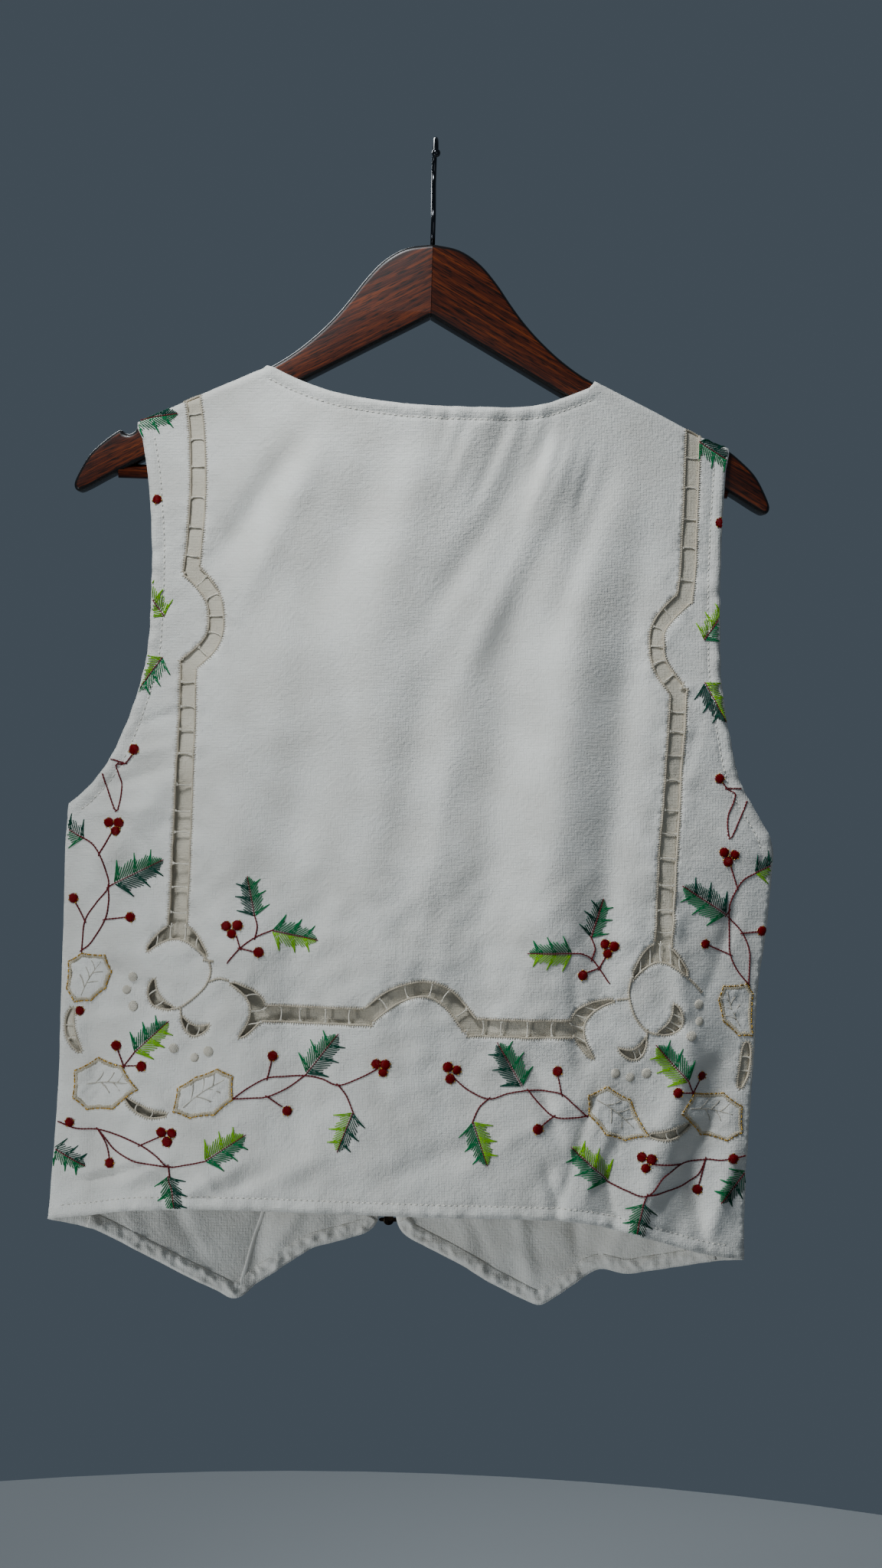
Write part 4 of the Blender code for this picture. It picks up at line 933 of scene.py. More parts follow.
# A crescent lies between two arcs through the same tips. A bulge is to the left of tip A to tip B.
Crescent = namedtuple("Crescent", "ax az bx bz outer_bulge inner_bulge rungs")
CRESCENTS = (
    Crescent(-167.5, -514.6, -126.4, -517.0, 20.4, 10.8, (0.17, 0.38, 0.6, 0.8)),
    Crescent(-147.5, -548.6, -161.2, -529.6, 10.8, 3.2, (0.34, 0.68)),
    Crescent(-107.0, -566.4, -114.4, -530.0, -20.4, -11.0, (0.22, 0.44, 0.7)),
    Crescent(-124.2, -557.8, -143.2, -552.8, 10.2, 3.4, (0.36, 0.7)),
    Crescent(138.6, -523.0, 175.9, -521.2, 22.6, 10.6, (0.16, 0.33, 0.52, 0.68, 0.84)),
    Crescent(117.4, -575.0, 130.6, -535.4, 23.8, 14.6, (0.24, 0.42, 0.56, 0.74)),
    Crescent(167.6, -537.0, 156.6, -556.9, 11.4, 2.6, (0.3, 0.5, 0.72)),
    Crescent(149.8, -559.4, 131.2, -566.4, 10.8, 3.8, (0.34, 0.56)),
    Crescent(-149.0, -614.6, -177.6, -605.0, 7.2, 1.8, (0.34, 0.68)),
    Crescent(181.0, -613.0, 152.6, -620.6, 6.2, 0.6, (0.34, 0.6)),
    Crescent(-206.0, -580.0, -212.6, -550.0, 7.6, 1.2, (0.34, 0.64)),
    Crescent(212.6, -592.8, 216.4, -561.0, -4.6, 2.2, (0.4, 0.66)),
)
CUT_STEP = 2.0
TIP_BLUNTNESS = 0.55
CRESCENT_ENDS = (0.04, 0.96)
RailPlace = namedtuple("RailPlace", "along x z half_width")


def rail_point(ladder, share, side):
    """A point on a ladder's left (1), right (-1) or middle (0) line."""
    lengths = [0.0]
    for a, b in zip(ladder.rails, ladder.rails[1:]):
        lengths.append(lengths[-1] + math.hypot(b.x - a.x, b.z - a.z))
    rows = [RailPlace(length, *rail) for length, rail in zip(lengths, ladder.rails)]
    along = np.asarray(share, float) * lengths[-1]
    x, z, half = (along_rows(rows, along, "along", column) for column in ("x", "z", "half_width"))
    near, far = np.maximum(0.0, along - 1.0), np.minimum(lengths[-1], along + 1.0)
    run_x = along_rows(rows, far, "along", "x") - along_rows(rows, near, "along", "x")
    run_z = along_rows(rows, far, "along", "z") - along_rows(rows, near, "along", "z")
    run = np.hypot(run_x, run_z)
    return np.stack([x - run_z * side * half / run, z + run_x * side * half / run], axis=-1)


def ladder_loop(ladder):
    length = sum(math.hypot(b.x - a.x, b.z - a.z) for a, b in zip(ladder.rails, ladder.rails[1:]))
    shares = np.linspace(0.0, 1.0, max(3, round(length / CUT_STEP)))
    return np.concatenate([rail_point(ladder, shares, 1.0), rail_point(ladder, shares[::-1], -1.0)])


def arch(share):
    """0 at both ends of a run and 1 in its middle."""
    return 1.0 - (2.0 * share - 1.0) ** 2


def arc_point(crescent, bulge, share):
    """A point on the arc through the crescent's tips with this bulge at its middle, and with blunt tips."""
    share = np.asarray(share, float)
    chord_x, chord_z = crescent.bx - crescent.ax, crescent.bz - crescent.az
    full = arch(share)
    middle = (crescent.outer_bulge + crescent.inner_bulge) / 2.0
    rise = (middle * full + (bulge - middle) * full**TIP_BLUNTNESS) / math.hypot(chord_x, chord_z)
    x = crescent.ax + chord_x * share - rise * chord_z
    return np.stack([x, crescent.az + chord_z * share + rise * chord_x], axis=-1)


def crescent_loop(crescent):
    reach = math.hypot(crescent.bx - crescent.ax, crescent.bz - crescent.az) + abs(crescent.outer_bulge)
    shares = np.linspace(*CRESCENT_ENDS, max(5, round(reach / CUT_STEP)))
    outer = arc_point(crescent, crescent.outer_bulge, shares)
    return np.concatenate([outer, arc_point(crescent, crescent.inner_bulge, shares[::-1])])


cut_loops = [ladder_loop(ladder) for ladder in LADDERS] + [crescent_loop(c) for c in CRESCENTS]

# Brushed cotton: ivory white, a soft raised nap over a fine plain weave. It scatters light evenly and
# has no shine but a faint pale bloom at glancing angles. The weave is drawn coarser than the real 0.4 mm.
COTTON = "#EEEBE4"
COTTON_SHADE = "#E2DED6"
CLOUD_MM = 30.0
WEAVE_MM = 1.1
NAP_MM = 2.6
NAP_SHARE = 7.0
NAP_RELIEF = 0.11


def add_noise(tree, where, size, detail):
    """Soft noise with features of this size in millimetres."""
    values = {"Vector": where, "Scale": 1.0 / (size * MM), "Detail": detail}
    return add_node(tree, "ShaderNodeTexNoise", values).outputs["Fac"]


def cotton_material(name, colour, shade):
    """Cotton cloth of a colour that varies softly to a shade, with its nap and its weave as relief."""
    material, tree, shader = new_material(
        name, {"Roughness": 0.94, "Sheen Weight": 0.12, "Sheen Roughness": 0.6, "Specular IOR Level": 0.2}
    )
    where = add_node(tree, "ShaderNodeUVMap", uv_map="weave").outputs["UV"]
    tone = add_ramp(tree, add_noise(tree, where, CLOUD_MM, 3.0), ((0.35, shade), (0.65, colour)))
    tree.links.new(tone, shader.inputs["Base Color"])
    threads = {"Vector": where, "Scale": 1.0 / (WEAVE_MM * MM) / 3.0, "Distortion": 1.5, "Detail Scale": 3.0}
    warp = add_node(tree, "ShaderNodeTexWave", threads, bands_direction="X")
    weft = add_node(tree, "ShaderNodeTexWave", threads, bands_direction="Y")
    crossed = add_node(
        tree, "ShaderNodeMath", {0: warp.outputs["Fac"], 1: weft.outputs["Fac"]}, operation="ADD"
    )
    nap = add_noise(tree, where, NAP_MM, 5.0)
    raised = add_node(
        tree, "ShaderNodeMath", {0: nap, 1: NAP_SHARE, 2: crossed.outputs[0]}, operation="MULTIPLY_ADD"
    )
    add_relief(tree, shader, raised.outputs[0], 0.8, NAP_RELIEF)
    return material


cotton = cotton_material("brushed_cotton", COTTON, COTTON_SHADE)

hemmed_runs = (BACK_NECK, BACK_ARMHOLE_LEFT, BACK_HEM, BACK_ARMHOLE_RIGHT)
back_hems = [smooth_path(run, OUTLINE_STEP) for run in hemmed_runs]
back_panel = Panel(back_point, 1.0, back_outline, cut_loops, back_hems, CLOTH)
back = add_piece("cotton_back", cloth_mesh("cotton_back", back_panel, GRID), "cotton", cotton)
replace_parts(back, "back_panel")


# The lining of the back: a second, thinner layer of cotton, tinted as painted shade, caught into the seams
# and the hem.
# It lies close behind the cutwork at the shoulders and hangs a few millimetres away from it lower down,
# most on the left.
LINING_CLOTH = 0.45
LINING_GAP = 1.0
LINING_SLACK = 3.5
LINING_RIGHT_SHARE = 0.35
LINING_MIDDLE_X = 20.0
LINING_TURN = 240.0
LINING_TOP = -330.0
LINING_FALL = 170.0
LINING_HEM = -672.0
LINING_HEM_RISE = 80.0
LINING_SIDE_SHARE = 0.16
LINING_INSET = 1.4
LINING_GRID = 5.0
# The lining's colours, warmed and darkened as painted shade for the gaps in the cutwork.
LINING_WARM_PAINTED_SHADE = "#DAD1BF"
LINING_DEEP_PAINTED_SHADE = "#CBC1AE"


def lining_point(x, height):
    """Where the middle of the lining lies, behind the back's cloth."""
    place = back_point(x, height)
    z = place[..., 2]
    slack = smooth_step((LINING_TOP - z) / LINING_FALL) * smooth_step((z - LINING_HEM) / LINING_HEM_RISE)
    slack = slack * smooth_step((1.0 - side_share(x, z)) / LINING_SIDE_SHARE)
    slack = slack * blend(1.0, LINING_RIGHT_SHARE, smooth_step(0.5 + (x - LINING_MIDDLE_X) / LINING_TURN))
    return place - drape_normal(back_point, x, height) * (LINING_GAP + LINING_SLACK * slack)[..., None]


lining_outline = inset_line(back_outline, back_outline, LINING_INSET)
lining_panel = Panel(lining_point, 1.0, lining_outline, [], [], LINING_CLOTH)
# The lining's colour is painted shade: warmer and darker than the back, so the gaps in the cutwork look like
# warm shadow.
lining_cotton_painted_shade = cotton_material("lining_cotton_painted_warm_shade", LINING_WARM_PAINTED_SHADE, LINING_DEEP_PAINTED_SHADE)
lining_mesh = cloth_mesh("cotton_back_lining", lining_panel, LINING_GRID)
lining = add_piece("cotton_back_lining", lining_mesh, "cotton", lining_cotton_painted_shade)

# The cutwork's edges: every cut edge is wrapped in ecru cotton cord, held by small stitches that reach
# into the cloth. Single twisted threads cross each gap as rungs, with their feet splayed on the edges.
ECRU = "#C4B8A4"
RUNG_ECRU = "#DAD2C2"
EDGE_CORD_WIDTH = 1.3
EDGE_CORD_HEIGHT = 1.5
EDGE_CORD_STEP = 1.6
EDGE_STITCH_PITCH = 1.5
EDGE_STITCH_REACH = 1.5
EDGE_STITCH_WIDTH = 0.42
EDGE_STITCH_REACHES = (0.8, 1.1, 0.9, 1.25, 1.0)
EDGE_STITCH_LIFTS = (0.45, 0.15, -0.1)
RUNG_WIDTH = 0.95
RUNG_BOW = 0.9
RUNG_BOWS = (0.9, -0.5, 0.4, -0.8, 0.7)
RUNG_SAG = 0.4
RUNG_FOOT = 1.5
RUNG_FEET = (0.8, 1.0, 0.6)
RUNG_FOOT_WIDTH = 0.5
RUNG_FOOT_JOIN = 0.2
RUNG_FOOT_BOW = 0.6
RUNG_PAST_EDGE = 0.12
RUNG_POINTS = 9
THREAD_SIDES = 6
OUTLINE_CLEAR = 0.5
# A thread follows points on the flat pattern. Its lift is the height of its middle above the cloth.
Thread = namedtuple("Thread", "points width height lift")


def even_path(points, step, closed=False):
    """Points at an even distance along a smooth curve through these points."""
    fine = smooth_path(points, step / 3.0, closed)
    if closed:
        fine = np.concatenate([fine, fine[:1]])
    lengths = np.concatenate([[0.0], np.cumsum(np.hypot(*np.diff(fine, axis=0).T))])
    places = np.linspace(0.0, lengths[-1], max(2, round(lengths[-1] / step) + 1))
    return np.stack([np.interp(places, lengths, fine[:, axis]) for axis in (0, 1)], axis=1)


def sew(name, panel, threads, material, sides=THREAD_SIDES, outside=True):
    """One piece of many threads laid on a face of a panel, each cut off where the cloth ends."""
    spots = np.concatenate([thread.points for thread in threads])
    clear = inside(panel.outline, spots) & (distance_to([panel.outline], spots) > OUTLINE_CLEAR)
    middle, out, outer, inner = cloth_faces(panel, spots)
    face, away = (outer, out) if outside else (inner, -out)
    walls, start = [], 0
    for thread in threads:
        count = len(thread.points)
        kept = np.flatnonzero(clear[start : start + count])
        if len(kept) > 1:
            kept = kept[: np.argmax(np.diff(kept) > 1) + 1] if np.any(np.diff(kept) > 1) else kept
        if len(kept) > 1:
            here = start + kept
            sizes = (thread.lift, thread.width, thread.height)
            lift, width, height = (np.broadcast_to(size, count)[kept] for size in sizes)
            path = middle[here] + away[here] * (face[here] + lift)[:, None]
            walls.append(strand(path, away[here], width, height, sides))
        start += count
    return add_piece(name, mesh_of(name, walls), "cotton", material)


def edge_threads(loop):
    """The cord round a cut edge, and the stitches that hold it."""
    path = even_path(loop, EDGE_CORD_STEP, closed=True)
    path = np.concatenate([path, path[1:2]])
    others = [other for other in cut_loops if other is not loop]
    clear = in_cloth(back_outline, others, path)
    breaks = np.flatnonzero(np.diff(clear.astype(int))) + 1
    threads = [
        Thread(part, EDGE_CORD_WIDTH, EDGE_CORD_HEIGHT, -CLOTH / 2.0)
        for part, kept in zip(np.split(path, breaks), np.split(clear, breaks))
        if kept[0] and len(part) > 1
    ]
    foot = even_path(loop, EDGE_STITCH_PITCH, closed=True)[:-1]
    away = square_to(foot)
    if inside(loop, foot + away * 0.6).mean() > 0.5:
        away = -away
    held = in_cloth(back_outline, cut_loops, foot + away * 1.2)
    for i, (spot, way) in enumerate(zip(foot[held], away[held])):
        reach = EDGE_STITCH_REACH * EDGE_STITCH_REACHES[i % len(EDGE_STITCH_REACHES)]
        points = np.array([spot, spot + way * reach * 0.6, spot + way * reach])
        threads.append(Thread(points, EDGE_STITCH_WIDTH, EDGE_STITCH_WIDTH, np.array(EDGE_STITCH_LIFTS)))
    return threads


def rung_threads(first, last, along, turn):
    """One rung from edge to edge, bowed along the band, with its two feet splayed on each edge."""
    bow = RUNG_BOW * RUNG_BOWS[turn % len(RUNG_BOWS)]
    reach = RUNG_FOOT * RUNG_FEET[turn % len(RUNG_FEET)]
    across = last - first
    shares = np.linspace(-RUNG_PAST_EDGE, 1.0 + RUNG_PAST_EDGE, RUNG_POINTS)[:, None]
    path = first + across * shares + along * bow * arch(shares)
    sag = -CLOTH / 2.0 - RUNG_SAG * np.clip(arch(shares[:, 0]), 0.0, 1.0)
    threads = [Thread(path, RUNG_WIDTH, RUNG_WIDTH, sag)]
    for end, other in ((first, last), (last, first)):
        for side in (-1.0, 1.0):
            inner = end + (other - end) * RUNG_FOOT_JOIN + along * bow * RUNG_FOOT_BOW
            foot = end + along * side * reach
            points = np.array([foot, (foot + inner) / 2.0, inner])
            threads.append(Thread(points, RUNG_FOOT_WIDTH, RUNG_FOOT_WIDTH, -CLOTH / 2.0))
    return threads


cord_threads, rungs = [], []
for loop in cut_loops:
    cord_threads += edge_threads(loop)
for ladder in LADDERS:
    for turn, share in enumerate(ladder.rungs):
        ends = [rail_point(ladder, share, side) for side in (1.0, -1.0)]
        along = rail_point(ladder, share + 0.01, 0.0) - rail_point(ladder, share - 0.01, 0.0)
        rungs += rung_threads(*ends, unit(along), turn)
for turn, crescent in enumerate(CRESCENTS):
    for step, share in enumerate(crescent.rungs):
        ends = [arc_point(crescent, bulge, share) for bulge in (crescent.outer_bulge, crescent.inner_bulge)]
        along = arc_point(crescent, crescent.outer_bulge, share + 0.02) - ends[0]
        rungs += rung_threads(*ends, unit(along), turn + step)


TONE_MM = 3.0
TONE_DARKEST, TONE_LIGHTEST = 0.72, 1.28
TWIST_MM = 0.6
TWIST_RELIEF = 0.15


def thread_material(name, colour, roughness=0.62):
    """Twisted cotton thread: its colour is a little uneven, and fine ridges lie across it."""
    material, tree, shader = new_material(name, {"Roughness": roughness, "Specular IOR Level": 0.1})
    spot = add_node(tree, "ShaderNodeTexCoord").outputs["Object"]
    uneven = {"Value": add_noise(tree, spot, TONE_MM, 2.0), "To Min": TONE_DARKEST, "To Max": TONE_LIGHTEST}
    value = add_node(tree, "ShaderNodeMapRange", uneven).outputs["Result"]
    tone = add_node(tree, "ShaderNodeHueSaturation", {"Color": linear(colour), "Value": value})
    tree.links.new(tone.outputs["Color"], shader.inputs["Base Color"])
    add_relief(tree, shader, add_noise(tree, spot, TWIST_MM, 1.0), 0.6, TWIST_RELIEF)
    return material


# Unbleached ecru cotton thread is matt and a little hairy. The rungs' thread is paler than the cord.
ecru_thread = thread_material("ecru_cotton_thread", ECRU, 0.8)
rung_thread = thread_material("pale_ecru_cotton_thread", RUNG_ECRU, 0.8)
sew("cutwork_edge_cords", back_panel, cord_threads, ecru_thread)
sew("cutwork_rungs", back_panel, rungs, rung_thread)

# The scrolls and dots: lines of couched ecru cord finish the two round medallions and join the cutwork to
# them, and small padded dots of ecru satin stitch stand beside them.
SCROLL_CORDS = (
    (
        (-126.4, -517.4), (-125.2, -524.0), (-126.6, -530.4), (-131.0, -537.0), (-142.5, -546.9),
        (-148.5, -548.8),
    ),
    ((-125.6, -530.4), (-119.6, -528.6), (-114.2, -529.6)),
    ((-143.6, -547.2), (-143.4, -550.4), (-143.0, -553.0)),
    (
        (138.6, -522.4), (137.6, -531.0), (139.2, -539.6), (142.6, -547.4), (149.3, -554.9),
        (157.0, -557.2),
    ),
    ((130.4, -535.6), (137.8, -534.9)),
    ((149.4, -554.0), (149.8, -557.0), (149.6, -560.0)),
    ((175.6, -521.6), (180.4, -525.8), (184.6, -530.2)),
    ((-130.0, -517.4), (-123.6, -517.8)),
)
SCROLL_CORD_WIDTH = 1.1
SCROLL_CORD_HEIGHT = 0.8
SCROLL_STITCH_PITCH = 1.7
SCROLL_STEP = 1.5
SCROLL_LIFT = 0.35
COUCHING_LIFT = 0.9
COUCHING_WIDTH = 0.4
SATIN_DOTS = (
    (-174.6, -529.9), (-178.3, -538.2), (-174.0, -548.1), (-147.1, -573.3), (-133.9, -578.5),
    (-125.3, -574.3), (182.8, -538.0), (183.7, -548.7), (178.4, -557.9), (130.4, -581.8),
    (139.8, -584.2), (150.6, -581.7),
)
DOT_RADIUS = 2.9
DOT_RISE = 0.8
DOT_STRANDS = 8
DOT_SIZES = (1.0, 0.9, 1.05)
DOT_FIRST_TURN = 0.5
DOT_TURN = 1.3
PAD_SPREAD = 0.9
PAD_POINTS = 7
PAD_OVERLAP = 2.3
PAD_FLATNESS = 0.8
PAD_SINK = 0.1
DOT_ECRU = "#D3CBBC"


def couched(points, width, height, pitch):
    """A cord laid along a path and held down by small stitches across it."""
    path = even_path(points, SCROLL_STEP)
    threads = [Thread(path, width, height, height * SCROLL_LIFT)]
    feet = even_path(points, pitch)
    for spot, way in zip(feet, square_to(feet)):
        ends = np.array([spot - way * width, spot, spot + way * width])
        lift = np.array((0.0, height * COUCHING_LIFT, 0.0))
        threads.append(Thread(ends, COUCHING_WIDTH, COUCHING_WIDTH, lift))
    return threads


def satin_pad(x, z, radius, rise, strands, turn):
    """A round pad of parallel stitches, highest in its middle."""
    way = np.array((math.cos(turn), math.sin(turn)))
    across = np.array((-way[1], way[0]))
    threads = []
    for place in np.linspace(-PAD_SPREAD, PAD_SPREAD, strands):
        half = radius * math.sqrt(1.0 - place * place)
        shares = np.linspace(-1.0, 1.0, PAD_POINTS)
        points = np.array((x, z)) + across * place * radius + way * (half * shares)[:, None]
        away = np.minimum(1.0, np.hypot(place, shares * math.sqrt(1.0 - place * place)))
        width = PAD_OVERLAP * radius / strands
        lift = rise * np.sqrt(1.0 - away**2) - PAD_SINK
        threads.append(Thread(points, width, width * PAD_FLATNESS, lift))
    return threads


scroll_threads, dot_threads = [], []
for cord in SCROLL_CORDS:
    scroll_threads += couched(cord, SCROLL_CORD_WIDTH, SCROLL_CORD_HEIGHT, SCROLL_STITCH_PITCH)
for number, (x, z) in enumerate(SATIN_DOTS):
    size = DOT_RADIUS * DOT_SIZES[number % len(DOT_SIZES)]
    dot_threads += satin_pad(x, z, size, DOT_RISE, DOT_STRANDS, DOT_FIRST_TURN + DOT_TURN * number)
sew("scroll_cords", back_panel, scroll_threads, ecru_thread)
sew("satin_dots", back_panel, dot_threads, thread_material("ecru_satin_thread", DOT_ECRU))


# The applied leaves: six pieces of the same cotton, gathered slightly, laid on the back and held by a band
# of ecru satin stitch with gold thread along its outer side. Their veins are single ecru threads.
AppliedLeaf = namedtuple("AppliedLeaf", "corners vein_start vein_end")
APPLIED_LEAVES = (
    AppliedLeaf(
        (
            (-207.5, -516.5), (-192.1, -516.7), (-188.4, -527.6), (-191.5, -537.9), (-200.6, -546.1),
            (-211.5, -547.6), (-216.7, -539.2), (-216.2, -522.2),
        ),
        (-207.0, -543.0),
        (-195.0, -521.0),
    ),
    AppliedLeaf(
        (
            (-195.1, -581.9), (-179.7, -586.4), (-169.1, -600.3), (-184.3, -613.6), (-201.5, -615.1),
            (-210.6, -607.9), (-210.2, -591.0),
        ),
        (-202.0, -599.0),
        (-175.0, -597.0),
    ),
    AppliedLeaf(
        (
            (-119.3, -585.0), (-109.5, -589.0), (-109.1, -603.8), (-120.3, -613.8), (-135.6, -616.4),
            (-146.4, -613.0), (-143.9, -598.1), (-133.0, -590.9),
        ),
        (-140.0, -610.0),
        (-114.5, -591.5),
    ),
    AppliedLeaf(
        (
            (199.2, -526.3), (215.1, -524.8), (219.5, -531.1), (219.8, -558.0), (210.5, -558.0),
            (199.9, -548.7), (196.4, -535.0),
        ),
        (211.0, -552.0),
        (202.0, -530.0),
    ),
    AppliedLeaf(
        (
            (182.0, -594.3), (202.4, -595.0), (214.5, -603.4), (215.0, -620.0), (205.4, -625.2),
            (186.9, -621.1), (173.4, -606.9),
        ),
        (179.0, -604.0),
        (208.0, -608.5),
    ),
    AppliedLeaf(
        (
            (112.7, -595.9), (125.3, -590.0), (140.8, -598.6), (148.1, -613.6), (153.3, -621.3),
            (137.6, -624.2), (125.2, -620.4), (114.1, -607.9),
        ),
        (119.0, -598.5),
        (143.0, -616.0),
    ),
)
PATCH_GRID = 1.8
PATCH_SEAT = 0.12
PATCH_RISE = 0.5
PATCH_SLOPE = 3.0
PATCH_CLEAR = 0.7
PATCH_GATHER = Uneven(0.8, 4.0, 11.0)
PATCH_GATHER_START = 1.5
SCALLOP_DEPTH = 0.035
BAND_WIDTH = 2.3
BAND_STITCH_PITCH = 0.8
BAND_STITCH_WIDTH = 0.78
BAND_STITCH_HEIGHT = 0.5
BAND_REACHES = (1.0, 0.86, 1.06, 0.92)
BAND_LIFTS = (0.0, 0.5, 0.65, 0.3)
GOLD_STEP = 0.7
GOLD_POINTS_PER_DASH = 2.625
GOLD_DASH_POINTS = (3, 2, 4, 2)
GOLD_WIDTH = 0.9
GOLD_LIFT = 0.45
VEIN_WIDTH = 0.55
VEIN_HEIGHT = 0.5
VEIN_LIFT = 0.7
VEIN_STEP = 1.5
VEIN_BOW = 0.04
VEIN_REACH = 0.3
VEIN_SHORTENING = 0.5
VEIN_LEAN = 0.8
VEIN_CURL = 0.02
# Each side vein starts at a share of the midrib and goes to one side of it.
VEIN_ROOTS = ((0.22, 1.0), (0.34, -1.0), (0.5, 1.0), (0.62, -1.0), (0.74, 1.0))
GOLD = "#C89B3E"
VEIN_ECRU = "#B9B1A2"
BAND_ECRU = "#CABEA6"


def scalloped(corners):
    """A leaf's edge through its corners, curving in a little between them."""
    corners = np.array(corners)
    middle = corners.mean(axis=0)
    edge = []
    for a, b in zip(corners, np.roll(corners, -1, axis=0)):
        inward = middle - (a + b) / 2.0
        inward *= SCALLOP_DEPTH * np.hypot(*(b - a)) / np.hypot(*inward)
        shares = np.arange(0.0, 1.0, 0.125)[:, None]
        edge.append(a + (b - a) * shares + inward * arch(shares))
    return np.concatenate(edge)


def patch_mesh(name, panel, edges):
    """Thin cloth patches on the outer face of a panel, gathered between their sewn-down edges."""
    points, faces, weave = [], [], []
    for edge in edges:
        low, high = edge.min(axis=0), edge.max(axis=0)
        x, z = np.meshgrid(np.arange(low[0], high[0], PATCH_GRID), np.arange(low[1], high[1], PATCH_GRID))
        x = x + 0.5 * PATCH_GRID * (np.arange(len(x)) % 2)[:, None]
        lattice = np.stack([x.ravel(), z.ravel()], axis=1)
        lattice = lattice[inside(edge, lattice)]
        lattice = lattice[distance_to([edge], lattice) > PATCH_CLEAR]
        rim = [(i, (i + 1) % len(edge)) for i in range(len(edge))]
        every = [Vector(spot) for spot in np.concatenate([edge, lattice]).tolist()]
        filled = delaunay_2d_cdt(every, rim, [], 1, 0.01)
        flat = np.array([tuple(spot) for spot in filled[0]])
        clear = inside(panel.outline, flat)
        middle, out, outer, _ = cloth_faces(panel, flat)
        away = distance_to([edge], flat)
        rise = PATCH_RISE * smooth_step(away / PATCH_SLOPE) + PATCH_SEAT
        rise += uneven_rise(flat, PATCH_GATHER) * smooth_step(away / PATCH_GATHER_START)
        place = middle + out * (outer + rise)[:, None]
        faces += [[i + len(weave) for i in face] for face in filled[2] if clear[list(face)].all()]
        points += place.tolist()
        weave += flat.tolist()
    mesh = smooth_mesh(name, points, faces)
    map_weave(mesh, weave)
    return mesh


def vein_threads(start, end):
    """A leaf's midrib and its side veins."""
    start, end = np.array(start), np.array(end)
    run = end - start
    square = np.array((-run[1], run[0]))
    lines = [[start, (start + end) / 2.0 + square * VEIN_BOW, end]]
    for share, side in VEIN_ROOTS:
        root = start + run * share + square * VEIN_BOW * arch(share)
        reach = VEIN_REACH * (1.0 - VEIN_SHORTENING * share)
        tip = root + run * reach * VEIN_LEAN + square * reach * side
        lines.append([root, (root + tip) / 2.0 + run * VEIN_CURL, tip])
    return [Thread(even_path(line, VEIN_STEP), VEIN_WIDTH, VEIN_HEIGHT, VEIN_LIFT) for line in lines]


leaf_edges = [scalloped(leaf.corners) for leaf in APPLIED_LEAVES]
band_threads, gold_threads, veins = [], [], []
for leaf, edge in zip(APPLIED_LEAVES, leaf_edges):
    foot = even_path(np.concatenate([edge, edge[:1]]), BAND_STITCH_PITCH)[:-1]
    inward = square_to(foot)
    if inside(edge, foot + inward * 0.5).mean() < 0.5:
        inward = -inward
    for i, (spot, way) in enumerate(zip(foot, inward)):
        reach = BAND_WIDTH * BAND_REACHES[i % len(BAND_REACHES)]
        points = spot + way * np.array((-0.3, reach * 0.35, reach * 0.7, reach))[:, None]
        band_threads.append(Thread(points, BAND_STITCH_WIDTH, BAND_STITCH_HEIGHT, np.array(BAND_LIFTS)))
    rim = even_path(np.concatenate([edge, edge[:1]]), GOLD_STEP)
    dashes = max(1, round(len(rim) / GOLD_POINTS_PER_DASH))
    for number in range(dashes):
        first = round(number * len(rim) / dashes)
        part = rim[first : first + GOLD_DASH_POINTS[number % len(GOLD_DASH_POINTS)]]
        if len(part) > 1:
            gold_threads.append(Thread(part, GOLD_WIDTH, GOLD_WIDTH, GOLD_LIFT))
    veins += vein_threads(leaf.vein_start, leaf.vein_end)
patches = patch_mesh("applied_leaf_patches", back_panel, leaf_edges)
add_piece("applied_leaf_patches", patches, "cotton", cotton)
sew("applied_leaf_bands", back_panel, band_threads, thread_material("ecru_satin_band_thread", BAND_ECRU))
sew("applied_leaf_veins", back_panel, veins, thread_material("faint_ecru_thread", VEIN_ECRU, 0.8))
# Gold thread is a thin foil wound round a core, so it glints in short bright pieces.
gold_foil = new_material(
    "gold_foil_thread", {"Base Color": linear(GOLD), "Roughness": 0.32, "Metallic": 1.0}
)[0]

